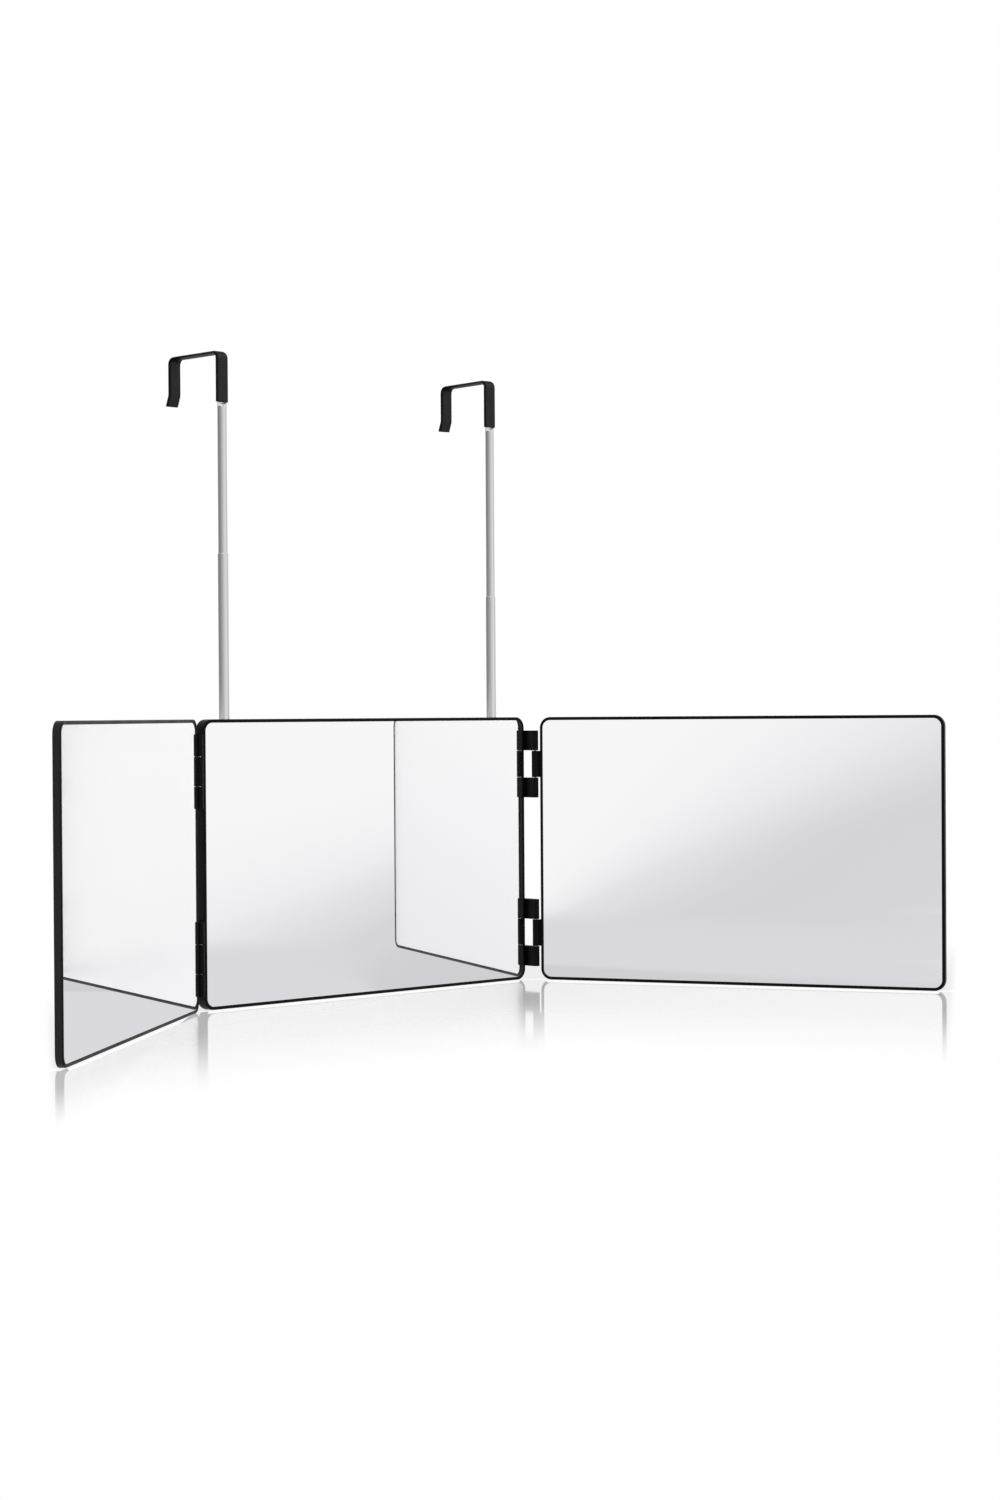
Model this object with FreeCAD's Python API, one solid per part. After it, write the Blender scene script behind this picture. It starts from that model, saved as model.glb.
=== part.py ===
"""Trifold vanity mirror on two telescoping over-door poles. Millimetres, +Z up.

The origin is the middle of the centre mirror's bottom face. X runs along the centre mirror,
-Y is the mirror side, and the side mirrors stand at their rest turns about upright pins.
"""

import FreeCAD
import Part
import math
import os

from FreeCAD import Vector

# ---------------------------------------------------------------- driving dimensions

# Each mirror: a moulded tray, a sheet of foam tape and a silvered glass plate.
PANEL_W = 305.0
PANEL_H = 196.0
FLOOR_T = 1.9
TAPE_T = 0.8
GLASS_T = 2.0
GLASS_RECESS = 0.3
RIM_W = 2.0
CORNER_R = 8.0
FRONT_ROUND = 0.8
BACK_ROUND = 0.5
GLASS_GAP = 0.1
TAPE_INSET = 9.0
BOSS_R = 2.6
BOSS_GAP = 0.1

# The centre tray is deeper: a rail down each short side carries the hinges and the poles.
RAIL_T = 3.6
RAIL_W = 41.5
SILL_H = 12.0
HOLLOW_CORNER_R = 4.0

# Hinges: two a side, each with two arms on the centre and one knuckle on the side mirror.
HINGE_H = 50.0
HINGE_FROM_END = 10.0
ARM_H = 14.8
KNUCKLE_GAP = 0.4
BARREL_R = 2.5
BARREL_CHAMFER = 0.4
PIN_R = 1.0
PIN_RUN = 0.05
PIN_RECESS = 0.3
PIN_OUT = 3.6
LEAF_W = 10.0
LEAF_T = 1.2
LEAF_CORNER_R = 2.0
FOLD_GAP = 0.8
STACK_GAP = 1.0
LEFT_REST_ANGLE = 37.13
RIGHT_REST_ANGLE = 65.62

# Countersunk screws, the same everywhere.
SCREW_R = 1.0
SCREW_HEAD_R = 2.3
SCREW_TIP_H = 0.6
SCREW_TIP_GAP = 0.2
RECESS_L = 2.4
RECESS_W = 0.5
RECESS_DEPTH = 0.7
LEAF_SCREW_IN = 5.0
LEAF_SCREW_SPREAD = 30.0

# Poles: three tubes one in another, with a plug, two foot bushes and a housing.
POLE_INSET = 25.5
BASE_OD = 8.0
TUBE_WALL = 0.3
TUBE_RUN = 0.1
LIP_H = 1.0
LIP_RUN = 0.05
LIP_ROUND = 0.25
BASE_FOOT = 8.0
BASE_BELOW_TOP = 2.0
PLUG_FLANGE_T = 2.0
SPIGOT_H = 4.0
COLLAR_H = 3.0
COLLAR_RUN = 0.03
SWIVEL_RUN = 0.03
SWIVEL_END_GAP = 0.05
STOP_GAP = 0.5
STAND_OUT = 2.0
HOUSING_WALL = 2.5
HOUSING_TOP_IN = 2.0
FLANGE_W = 25.0
FLANGE_T = 1.6
FLANGE_CORNER_R = 3.0
FLANGE_SCREW_IN = 3.3
FLANGE_SCREW_END = 24.0

# Hooks: the upper tube's end pressed flat and bent, in a vinyl sleeve.
SHOULDER_L = 4.5
STRAP_W = 10.4
STRAP_T = 1.8
STRAP_FLAT_W = 5.6
STRAP_EDGE_T = 1.0
SLEEVE_WALL = 0.5
SLEEVE_END = 0.6
HOOK_RISE = 34.8
DOOR_GAP = 50.2
BEND_INNER_R = 3.5
FAR_LEG_L = 26.2
FLARE_ANGLE = 22.0
FLARE_R = 6.0
FLARE_L = 8.0

# Rest positions: how far each tube is drawn out, and the turn of each hook about its pole.
LEFT_MIDDLE_OUT = 112.7
RIGHT_MIDDLE_OUT = 89.8
LEFT_UPPER_OUT = 96.2
RIGHT_UPPER_OUT = 119.1
LEFT_HOOK_ANGLE = 0.0
RIGHT_HOOK_ANGLE = -5.35

# ---------------------------------------------------------------- derived dimensions

PANEL_T = FLOOR_T + TAPE_T + GLASS_T + GLASS_RECESS
FRONT_Y = -PANEL_T / 2
BACK_Y = PANEL_T / 2
EDGE_X = PANEL_W / 2
FLOOR_Y = BACK_Y - FLOOR_T
CAVITY_R = CORNER_R - RIM_W
RAIL_Y = BACK_Y + RAIL_T

# A pin stands ahead of a mirror's front by half the gap between mirrors folded face to face.
SIDE_PIN_Y = FRONT_Y - FOLD_GAP / 2
# The right mirror folds over the left one, which lies on the centre with its leaves behind it.
STACK_T = FOLD_GAP + PANEL_T + LEAF_T + STACK_GAP
CENTRE_PIN_Y = {"left": SIDE_PIN_Y, "right": SIDE_PIN_Y - STACK_T + FOLD_GAP}
REST_ANGLE = {"left": LEFT_REST_ANGLE, "right": -RIGHT_REST_ANGLE}
SIGN = {"left": -1.0, "right": 1.0}

ROOT_T = PIN_OUT - BARREL_R
KNUCKLE_H = HINGE_H - 2 * ARM_H - 2 * KNUCKLE_GAP
HINGE_Z = {"lower": HINGE_FROM_END, "upper": PANEL_H - HINGE_FROM_END - HINGE_H}

BOSS_H = TAPE_T - BOSS_GAP
SCREW_HEAD_H = LEAF_T
SCREW_L = LEAF_T + FLOOR_T + BOSS_H - SCREW_TIP_GAP

POLE_X = EDGE_X - POLE_INSET
POLE_Y = BACK_Y + BASE_OD / 2
MIDDLE_OD = BASE_OD - 2 * (TUBE_WALL + TUBE_RUN)
UPPER_OD = MIDDLE_OD - 2 * (TUBE_WALL + TUBE_RUN)
BASE_TOP = PANEL_H - BASE_BELOW_TOP
FOOT_H = COLLAR_H + SPIGOT_H
MIDDLE_L = BASE_TOP + STAND_OUT - BASE_FOOT - SPIGOT_H - STOP_GAP - COLLAR_H
UPPER_L = MIDDLE_L + STAND_OUT - FOOT_H - STOP_GAP
MIDDLE_OUT = {"left": LEFT_MIDDLE_OUT, "right": RIGHT_MIDDLE_OUT}
UPPER_OUT = {"left": LEFT_UPPER_OUT, "right": RIGHT_UPPER_OUT}
HOOK_ANGLE = {"left": LEFT_HOOK_ANGLE, "right": RIGHT_HOOK_ANGLE}
MIDDLE_TOP = {side: BASE_TOP + STAND_OUT + MIDDLE_OUT[side] for side in SIGN}
SHOULDER_Z = {side: MIDDLE_TOP[side] + STAND_OUT + UPPER_OUT[side] for side in SIGN}
HOUSING_Z = BASE_FOOT - PLUG_FLANGE_T
HOUSING_TOP = BASE_TOP - HOUSING_TOP_IN
FLANGE_SCREW_X = FLANGE_W / 2 - FLANGE_SCREW_IN

CORE_W = STRAP_W - 2 * SLEEVE_WALL
CORE_T = STRAP_T - 2 * SLEEVE_WALL
BEND_R = BEND_INNER_R + STRAP_T / 2


# ---------------------------------------------------------------- shared shapes

def box(x0, x1, y0, y1, z0, z1):
    """A box from its two corners."""
    return Part.makeBox(x1 - x0, y1 - y0, z1 - z0, Vector(x0, y0, z0))


def rounded_plate(half_w, z0, z1, y0, y1, corner_r):
    """An upright plate with rounded corners, centred on x = 0."""
    plate = box(-half_w, half_w, y0, y1, z0, z1)
    corners = [e for e in plate.Edges if e.BoundBox.XLength < 1e-6 and e.BoundBox.ZLength < 1e-6]
    return plate.makeFillet(corner_r, corners)


def rounded_rim(solid, y, radius):
    """The solid with the edges that lie in the plane at y rounded."""
    edges = [e for e in solid.Edges if abs(e.BoundBox.YMin - y) < 1e-4 and abs(e.BoundBox.YMax - y) < 1e-4]
    return solid.makeFillet(radius, edges)


def turned(points, x, y):
    """A solid of revolution about the upright line through (x, y), from (radius, z) points."""
    outline = Part.makePolygon([Vector(r, 0, z) for r, z in points + points[:1]])
    solid = Part.Face(outline).revolve(Vector(0, 0, 0), Vector(0, 0, 1), 360)
    solid.translate(Vector(x, y, 0))
    return solid


def at_edge(shape, outward):
    """A shape made beside a right-hand edge at x = 0, moved to the mirror edge that faces outward."""
    moved = shape if outward > 0 else shape.mirror(Vector(0, 0, 0), Vector(1, 0, 0))
    moved.translate(Vector(outward * EDGE_X, 0, 0))
    return moved


def turned_out(shape, side):
    """A shape of a side mirror, made where the centre mirror is, moved to its place at rest."""
    outward = SIGN[side]
    shape.translate(Vector(outward * (EDGE_X + PIN_OUT), -SIDE_PIN_Y, 0))
    shape.rotate(Vector(0, 0, 0), Vector(0, 0, 1), REST_ANGLE[side])
    shape.translate(Vector(outward * (EDGE_X + PIN_OUT), CENTRE_PIN_Y[side], 0))
    return shape


def export(node, *solids):
    """Writes one node's STEP file."""
    shape = solids[0] if len(solids) == 1 else Part.makeCompound(list(solids))
    shape.exportStep(os.path.join("parts", node + ".step"))
    print(node, len(shape.Solids), round(shape.Volume, 1), shape.isValid())


# ---------------------------------------------------------------- mirrors

def leaf_screw_places():
    """(distance in from the mirror's edge, z) of the screws of one edge's two hinges."""
    middles = [z + HINGE_H / 2 for z in HINGE_Z.values()]
    return [(LEAF_SCREW_IN, m + s * LEAF_SCREW_SPREAD / 2) for m in middles for s in (-1, 1)]


def housing_screw_places():
    """(x, z) of the screws of both pole housings."""
    heights = (HOUSING_Z + FLANGE_SCREW_END, HOUSING_TOP - FLANGE_SCREW_END)
    across = [side * POLE_X + s * FLANGE_SCREW_X for side in SIGN.values() for s in (-1, 1)]
    return [(x, z) for x in across for z in heights]


def edge_screw_places(outward):
    """(x, z) of the hinge screws along the mirror edge that faces outward."""
    return [(outward * (EDGE_X - inset), z) for inset, z in leaf_screw_places()]


def tray(back_y):
    """A rounded plate with the glass's pocket in its front."""
    plate = rounded_plate(EDGE_X, 0, PANEL_H, FRONT_Y, back_y, CORNER_R)
    plate = rounded_rim(rounded_rim(plate, FRONT_Y, FRONT_ROUND), back_y, BACK_ROUND)
    pocket = rounded_plate(EDGE_X - RIM_W, RIM_W, PANEL_H - RIM_W, FRONT_Y, FLOOR_Y, CAVITY_R)
    return plate.cut(pocket)


def screw_holes(screws, back_y):
    """The holes that the screws fill in a tray whose back is at back_y."""
    return [cylinder_y(SCREW_R, x, z, y - SCREW_L, back_y) for x, z, y in screws]


def side_shell(screws):
    """A side mirror's tray, with a boss inside at each screw.

    screws is a list of (x, z, y of the screw's head)."""
    bosses = [cylinder_y(BOSS_R, x, z, FLOOR_Y - BOSS_H, BACK_Y - BACK_ROUND) for x, z, _ in screws]
    return tray(BACK_Y).fuse(bosses).removeSplitter().cut(screw_holes(screws, BACK_Y))


def centre_shell(screws):
    """The centre tray: hollow behind between its rails, which are grooved for the base tubes."""
    half_w, high_z = EDGE_X - RAIL_W, PANEL_H - SILL_H
    hollow = rounded_plate(half_w, SILL_H, high_z, BACK_Y, RAIL_Y, HOLLOW_CORNER_R)
    groove_r = BASE_OD / 2
    grooves = [
        box(s * POLE_X - groove_r, s * POLE_X + groove_r, BACK_Y, RAIL_Y, HOUSING_Z, PANEL_H)
        for s in SIGN.values()
    ]
    return tray(RAIL_Y).cut([hollow, *grooves, *screw_holes(screws, RAIL_Y)])


def cylinder_y(radius, x, z, y0, y1):
    """A cylinder along Y."""
    return Part.makeCylinder(radius, y1 - y0, Vector(x, y0, z), Vector(0, 1, 0))


def mirror_glass():
    """The silvered glass plate, a little back from the frame's front."""
    inset = RIM_W + GLASS_GAP
    y0 = FRONT_Y + GLASS_RECESS
    return rounded_plate(EDGE_X - inset, inset, PANEL_H - inset, y0, y0 + GLASS_T, CAVITY_R - GLASS_GAP)


def foam_tape():
    """The tape sheet between glass and tray, clear of the screw bosses along the hinge edge."""
    inset = RIM_W + TAPE_INSET
    return box(inset - EDGE_X, EDGE_X - inset, FLOOR_Y - TAPE_T, FLOOR_Y, inset, PANEL_H - inset)


def screw(x, z, y):
    """A countersunk cross-recess screw whose head is flush with the plane at y."""
    profile = [
        (0, 0),
        (SCREW_HEAD_R, 0),
        (SCREW_R, SCREW_HEAD_H),
        (SCREW_R, SCREW_L - SCREW_TIP_H),
        (SCREW_R / 2, SCREW_L),
        (0, SCREW_L),
    ]
    body = turned(profile, 0, 0)
    long_half, short_half = RECESS_L / 2, RECESS_W / 2
    slots = [
        box(-long_half, long_half, -short_half, short_half, 0, RECESS_DEPTH),
        box(-short_half, short_half, -long_half, long_half, 0, RECESS_DEPTH),
    ]
    body = body.cut(slots)
    body.rotate(Vector(0, 0, 0), Vector(1, 0, 0), 90)
    body.translate(Vector(x, y, z))
    return body


def countersink(x, z, y, plate_t):
    """What a plate of that thickness loses to a screw whose head is flush with its back at y."""
    cone = Part.makeCone(SCREW_HEAD_R, SCREW_R, SCREW_HEAD_H, Vector(x, y, z), Vector(0, -1, 0))
    return cone.fuse(cylinder_y(SCREW_R, x, z, y - plate_t, y))


# ---------------------------------------------------------------- hinges, made beside an edge at x = 0

def leaf_plate(back_y, z0):
    """The screwed plate on a mirror's back at back_y, with its two countersunk holes."""
    plate = box(-LEAF_W, 0, back_y, back_y + LEAF_T, z0, z0 + HINGE_H)
    inner = [e for e in plate.Edges if e.BoundBox.XMax < -LEAF_W + 1e-6 and e.BoundBox.YLength > LEAF_T / 2]
    plate = plate.makeFillet(LEAF_CORNER_R, inner)
    middle = z0 + HINGE_H / 2
    places = [middle - LEAF_SCREW_SPREAD / 2, middle + LEAF_SCREW_SPREAD / 2]
    return plate.cut([countersink(-LEAF_SCREW_IN, z, back_y + LEAF_T, LEAF_T) for z in places])


def barrel(pin_y, z0, height):
    """The round end of an arm or knuckle, chamfered at both ends."""
    profile = [
        (0, z0),
        (BARREL_R - BARREL_CHAMFER, z0),
        (BARREL_R, z0 + BARREL_CHAMFER),
        (BARREL_R, z0 + height - BARREL_CHAMFER),
        (BARREL_R - BARREL_CHAMFER, z0 + height),
        (0, z0 + height),
    ]
    return turned(profile, PIN_OUT, pin_y)


def arm(pin_y, z0):
    """One arm of a bracket: a bar beside the mirror's edge, from its back to the pin."""
    bar = box(ROOT_T, PIN_OUT + BARREL_R, pin_y, RAIL_Y + LEAF_T, z0, z0 + ARM_H)
    root = box(0, ROOT_T, FRONT_Y + FRONT_ROUND, RAIL_Y + LEAF_T, z0, z0 + ARM_H)
    return bar.fuse([root, barrel(pin_y, z0, ARM_H)])


def bracket(side, z0):
    """The centre mirror's half of a hinge: a plate and two arms that grip the pin."""
    pin_y = CENTRE_PIN_Y[side]
    arms = [arm(pin_y, z0), arm(pin_y, z0 + HINGE_H - ARM_H)]
    body = leaf_plate(RAIL_Y, z0).fuse(arms).removeSplitter()
    return at_edge(body.cut(pin(pin_y, z0)), SIGN[side])


def pin(pin_y, z0, clearance=0.0):
    """A hinge pin, or with a clearance the room that it turns in."""
    low, high = z0 + PIN_RECESS, z0 + HINGE_H - PIN_RECESS
    return Part.makeCylinder(PIN_R + clearance, high - low, Vector(PIN_OUT, pin_y, low))


def knuckle_leaf(side, z0):
    """A side mirror's half of a hinge: a plate, a web beside the edge and one knuckle."""
    low = z0 + ARM_H + KNUCKLE_GAP
    high = low + KNUCKLE_H
    web = box(0, ROOT_T, SIDE_PIN_Y, BACK_Y + LEAF_T, low, high)
    neck = box(0, PIN_OUT, SIDE_PIN_Y, SIDE_PIN_Y + BARREL_R, low, high)
    plate = leaf_plate(BACK_Y, z0)
    body = plate.fuse([web, neck, barrel(SIDE_PIN_Y, low, KNUCKLE_H)]).removeSplitter()
    body = body.cut(pin(SIDE_PIN_Y, z0, PIN_RUN))
    return turned_out(at_edge(body, -SIGN[side]), side)


# ---------------------------------------------------------------- poles, made upright at their own places

def tube(outer_r, z0, z1, next_r, x):
    """A chrome tube whose top is rolled in to guide a tube of radius next_r."""
    bore_r = outer_r - TUBE_WALL
    lip_r = next_r + LIP_RUN
    outline = [
        (bore_r, z0),
        (outer_r, z0),
        (outer_r, z1 - LIP_ROUND),
        (outer_r - LIP_ROUND, z1),
        (lip_r, z1),
        (lip_r, z1 - LIP_H),
        (bore_r, z1 - LIP_H),
    ]
    return turned(outline, x, POLE_Y)


def foot_bush(collar_r, spigot_r, tube_z, x):
    """A bush with its spigot up in a tube's foot at tube_z, and its collar below it."""
    outline = [
        (0, tube_z - COLLAR_H),
        (collar_r, tube_z - COLLAR_H),
        (collar_r, tube_z),
        (spigot_r, tube_z),
        (spigot_r, tube_z + SPIGOT_H),
        (0, tube_z + SPIGOT_H),
    ]
    return turned(outline, x, POLE_Y)


def base_plug(x):
    """The plug in the base tube's foot, with a flange under the tube."""
    outline = [
        (0, HOUSING_Z),
        (BASE_OD / 2, HOUSING_Z),
        (BASE_OD / 2, BASE_FOOT),
        (BASE_OD / 2 - TUBE_WALL, BASE_FOOT),
        (BASE_OD / 2 - TUBE_WALL, BASE_FOOT + SPIGOT_H),
        (0, BASE_FOOT + SPIGOT_H),
    ]
    return turned(outline, x, POLE_Y)


def pole_housing(x):
    """A half-round channel over the base tube, with a screwed flange each side on the rail."""
    channel_r = BASE_OD / 2
    outer_r = channel_r + HOUSING_WALL
    flange_y = RAIL_Y + FLANGE_T
    flange = rounded_plate(FLANGE_W / 2, HOUSING_Z, HOUSING_TOP, RAIL_Y, flange_y, FLANGE_CORNER_R)
    height = HOUSING_TOP - HOUSING_Z
    hood = Part.makeCylinder(outer_r, height, Vector(0, POLE_Y, HOUSING_Z))
    below = box(-outer_r, outer_r, POLE_Y - outer_r, RAIL_Y, HOUSING_Z, HOUSING_TOP)
    body = flange.fuse(hood.cut(below)).removeSplitter()
    bore = Part.makeCylinder(channel_r, height, Vector(0, POLE_Y, HOUSING_Z))
    mouth = box(-channel_r, channel_r, RAIL_Y, POLE_Y, HOUSING_Z, HOUSING_TOP)
    body = body.cut([bore, mouth])
    heights = (HOUSING_Z + FLANGE_SCREW_END, HOUSING_TOP - FLANGE_SCREW_END)
    places = [(s * FLANGE_SCREW_X, z) for s in (-1, 1) for z in heights]
    body = body.cut([countersink(px, pz, flange_y, FLANGE_T) for px, pz in places])
    body.translate(Vector(x, 0, 0))
    return body


# ---------------------------------------------------------------- hooks, made about the pole's own axis

def core_section(z):
    """The flattened tube's cross-section: a flat bar with round edges, across X at height z."""
    half = (CORE_W - CORE_T) / 2
    r = CORE_T / 2
    left_back, left_front = Vector(-half, r, z), Vector(-half, -r, z)
    right_front, right_back = Vector(half, -r, z), Vector(half, r, z)
    return Part.Wire(
        [
            Part.Arc(left_back, Vector(-half - r, 0, z), left_front).toShape(),
            Part.LineSegment(left_front, right_front).toShape(),
            Part.Arc(right_front, Vector(half + r, 0, z), right_back).toShape(),
            Part.LineSegment(right_back, left_back).toShape(),
        ]
    )


def straight_edges(points):
    """The straight edges from each point to the next."""
    return [Part.LineSegment(a, b).toShape() for a, b in zip(points, points[1:])]


def sleeve_section(z):
    """The sleeve's outer cross-section: flat in the middle, thinner to its round edges."""
    flat, edge = STRAP_FLAT_W / 2, (STRAP_W - STRAP_EDGE_T) / 2
    r = STRAP_EDGE_T / 2
    corners = []
    for side in (-1, 1):
        half_outline = ((-edge, r), (-flat, STRAP_T / 2), (flat, STRAP_T / 2), (edge, r))
        corners.append([Vector(x, side * y, z) for x, y in half_outline])
    front, back = corners
    left = Part.Arc(back[0], Vector(-STRAP_W / 2, 0, z), front[0]).toShape()
    right = Part.Arc(front[-1], Vector(STRAP_W / 2, 0, z), back[-1]).toShape()
    return Part.Wire([left, *straight_edges(front), right, *straight_edges(back[::-1])])


def round_section(radius, z):
    """A circle in four arcs that face the four sides of the core's section."""
    turns = [math.radians(a) for a in range(135, 136 + 360, 45)]
    points = [Vector(radius * math.cos(a), radius * math.sin(a), z) for a in turns]
    return Part.Wire([Part.Arc(*points[i : i + 3]).toShape() for i in range(0, 8, 2)])


def strap_line(z0, end_cut):
    """The hook's centre line in the YZ plane: up, over the door, down and flared out.

    It stops end_cut short of the strap's tip."""
    top = z0 + HOOK_RISE - STRAP_T / 2
    far_y = DOOR_GAP + STRAP_T
    leg_z = z0 + HOOK_RISE - FAR_LEG_L
    flare = math.radians(FLARE_ANGLE)
    flare_reach = FLARE_L - end_cut
    knee = FLARE_R * math.tan(flare / 2)
    corner = math.sqrt(0.5) * BEND_R
    near_bend = Vector(0, BEND_R - corner, top - BEND_R + corner)
    far_bend = Vector(0, far_y - BEND_R + corner, top - BEND_R + corner)
    knee_middle = Vector(
        0,
        far_y + FLARE_R * (1 - math.cos(flare / 2)),
        leg_z + knee - FLARE_R * math.sin(flare / 2),
    )
    out = Vector(0, math.sin(flare), -math.cos(flare))
    knee_end = Vector(0, far_y, leg_z) + out * knee
    points = {
        "start": Vector(0, 0, z0),
        "near_low": Vector(0, 0, top - BEND_R),
        "near_high": Vector(0, BEND_R, top),
        "far_high": Vector(0, far_y - BEND_R, top),
        "far_low": Vector(0, far_y, top - BEND_R),
        "knee_start": Vector(0, far_y, leg_z + knee),
        "tip": Vector(0, far_y, leg_z) + out * flare_reach,
    }
    return Part.Wire(
        [
            Part.LineSegment(points["start"], points["near_low"]).toShape(),
            Part.Arc(points["near_low"], near_bend, points["near_high"]).toShape(),
            Part.LineSegment(points["near_high"], points["far_high"]).toShape(),
            Part.Arc(points["far_high"], far_bend, points["far_low"]).toShape(),
            Part.LineSegment(points["far_low"], points["knee_start"]).toShape(),
            Part.Arc(points["knee_start"], knee_middle, knee_end).toShape(),
            Part.LineSegment(knee_end, points["tip"]).toShape(),
        ]
    )


def hook_core(z0):
    """The flattened end of the upper tube, swept along the hook's line."""
    return strap_line(z0, SLEEVE_END).makePipeShell([core_section(z0)], True, False)


def hook_place(shape, side):
    """A shape made about the pole's axis, turned and moved to its pole."""
    shape.rotate(Vector(0, 0, 0), Vector(0, 0, 1), HOOK_ANGLE[side])
    shape.translate(Vector(SIGN[side] * POLE_X, POLE_Y, 0))
    return shape


def upper_tube(side):
    """The thinnest tube, with its shoulder and the flat core of the hook."""
    shoulder = SHOULDER_Z[side]
    outer_r = UPPER_OD / 2
    bore_r = outer_r - TUBE_WALL
    foot = shoulder - UPPER_L
    outline = [(bore_r, foot), (outer_r, foot), (outer_r, shoulder), (bore_r, shoulder)]
    sleeve_z = shoulder + SHOULDER_L
    pressed = Part.makeLoft([round_section(outer_r, shoulder), core_section(sleeve_z)], True)
    round_part = turned(outline, 0, 0)
    return hook_place(round_part.fuse([pressed, hook_core(sleeve_z)]), side)


def hook_cover(side):
    """The vinyl sleeve, closed at the hook's tip."""
    sleeve_z = SHOULDER_Z[side] + SHOULDER_L
    outside = strap_line(sleeve_z, 0).makePipeShell([sleeve_section(sleeve_z)], True, False)
    return hook_place(outside.cut(hook_core(sleeve_z)), side)


# ---------------------------------------------------------------- assembly

def build_centre():
    """The centre mirror with its hinge halves, housings, base tubes and screws."""
    leaf_y, flange_y = RAIL_Y + LEAF_T, RAIL_Y + FLANGE_T
    leaf_screws = [(x, z, leaf_y) for outward in SIGN.values() for x, z in edge_screw_places(outward)]
    housing_screws = [(x, z, flange_y) for x, z in housing_screw_places()]
    export("centre_rear_shell", centre_shell(leaf_screws + housing_screws))
    export("centre_mirror_glass", mirror_glass())
    export("centre_foam_tape", foam_tape())
    export("centre_screws", *[screw(x, z, y) for x, z, y in leaf_screws + housing_screws])
    for side in SIGN:
        pole_x = SIGN[side] * POLE_X
        export(side + "_pole_housing", pole_housing(pole_x))
        export(side + "_base_tube", tube(BASE_OD / 2, BASE_FOOT, BASE_TOP, MIDDLE_OD / 2, pole_x))
        export(side + "_base_plug", base_plug(pole_x))
        for level, z0 in HINGE_Z.items():
            export(side + "_bracket_" + level, bracket(side, z0))
        pins = [at_edge(pin(CENTRE_PIN_Y[side], z0), SIGN[side]) for z0 in HINGE_Z.values()]
        export(side + "_hinge_pins", *pins)


def build_side(side):
    """A side mirror, turned out to its rest place."""
    screws = [(x, z, BACK_Y + LEAF_T) for x, z in edge_screw_places(-SIGN[side])]
    export(side + "_rear_shell", turned_out(side_shell(screws), side))
    export(side + "_mirror_glass", turned_out(mirror_glass(), side))
    export(side + "_foam_tape", turned_out(foam_tape(), side))
    export(side + "_leaf_screws", *[turned_out(screw(x, z, y), side) for x, z, y in screws])
    for level, z0 in HINGE_Z.items():
        export(side + "_hinge_leaf_" + level, knuckle_leaf(side, z0))


def build_pole(side):
    """The sliding tubes, bushes and hook of one pole."""
    x = SIGN[side] * POLE_X
    middle_foot = MIDDLE_TOP[side] - MIDDLE_L
    upper_foot = SHOULDER_Z[side] - UPPER_L - SWIVEL_END_GAP
    base_bore, middle_bore = BASE_OD / 2 - TUBE_WALL, MIDDLE_OD / 2 - TUBE_WALL
    upper_bore = UPPER_OD / 2 - TUBE_WALL
    export(side + "_middle_tube", tube(MIDDLE_OD / 2, middle_foot, MIDDLE_TOP[side], UPPER_OD / 2, x))
    export(side + "_middle_foot_bush", foot_bush(base_bore - COLLAR_RUN, middle_bore, middle_foot, x))
    export(
        side + "_upper_foot_bush",
        foot_bush(middle_bore - COLLAR_RUN, upper_bore - SWIVEL_RUN, upper_foot, x),
    )
    export(side + "_upper_tube", upper_tube(side))
    export(side + "_hook_cover", hook_cover(side))


os.makedirs("parts", exist_ok=True)
build_centre()
for mirror_side in SIGN:
    build_side(mirror_side)
    build_pole(mirror_side)
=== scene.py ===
"""A trifold vanity mirror on two telescoping over-door poles, dressed on its frame, in metres."""
import math

import bmesh
import bpy
from mathutils import Matrix, Vector


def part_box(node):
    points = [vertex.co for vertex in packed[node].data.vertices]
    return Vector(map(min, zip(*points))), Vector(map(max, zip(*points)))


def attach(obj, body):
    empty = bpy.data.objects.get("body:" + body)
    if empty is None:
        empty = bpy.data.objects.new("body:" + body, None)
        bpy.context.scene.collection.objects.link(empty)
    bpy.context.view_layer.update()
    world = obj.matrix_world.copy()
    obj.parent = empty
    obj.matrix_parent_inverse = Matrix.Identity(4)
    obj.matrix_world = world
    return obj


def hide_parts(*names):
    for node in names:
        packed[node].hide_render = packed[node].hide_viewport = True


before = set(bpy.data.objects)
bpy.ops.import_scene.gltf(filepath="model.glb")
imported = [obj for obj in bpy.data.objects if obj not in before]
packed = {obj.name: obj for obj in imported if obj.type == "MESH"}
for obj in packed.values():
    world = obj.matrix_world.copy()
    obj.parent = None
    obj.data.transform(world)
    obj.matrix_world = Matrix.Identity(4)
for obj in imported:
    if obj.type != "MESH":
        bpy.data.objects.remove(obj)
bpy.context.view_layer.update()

# ---------------------------------------------------------------- rear shells
# Each mirror sits in a shallow tray, injection-moulded in black ABS, whose rim is the thin frame round
# the glass. The centre tray is deeper: it is hollow behind, between a rail for the hinges and the pole
# down each short side. The side trays have a shallow sunk field on the back, and a coarser grain on
# their outer walls, which also get a lighter, glossier black: painted light, which the centre tray's
# walls don't get.
MM = 0.001
PANEL_W, PANEL_H = 305 * MM, 196 * MM
FRONT_Y, FLOOR_Y, BACK_Y, RAIL_Y = -2.5 * MM, 0.6 * MM, 2.5 * MM, 6.1 * MM
RIM_W, CORNER_R = 2 * MM, 8 * MM
FRONT_ROUND, BACK_ROUND, MOUTH_ROUND = 0.8 * MM, 0.5 * MM, 0.2 * MM
RAIL_W, SILL_H, HOLLOW_CORNER_R = 41.5 * MM, 12 * MM, 4 * MM
FIELD_IN, FIELD_DEPTH = 14 * MM, 0.3 * MM
CENTRE_SOFT, SIDE_SOFT = 0.25 * MM, 0.12 * MM
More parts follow.
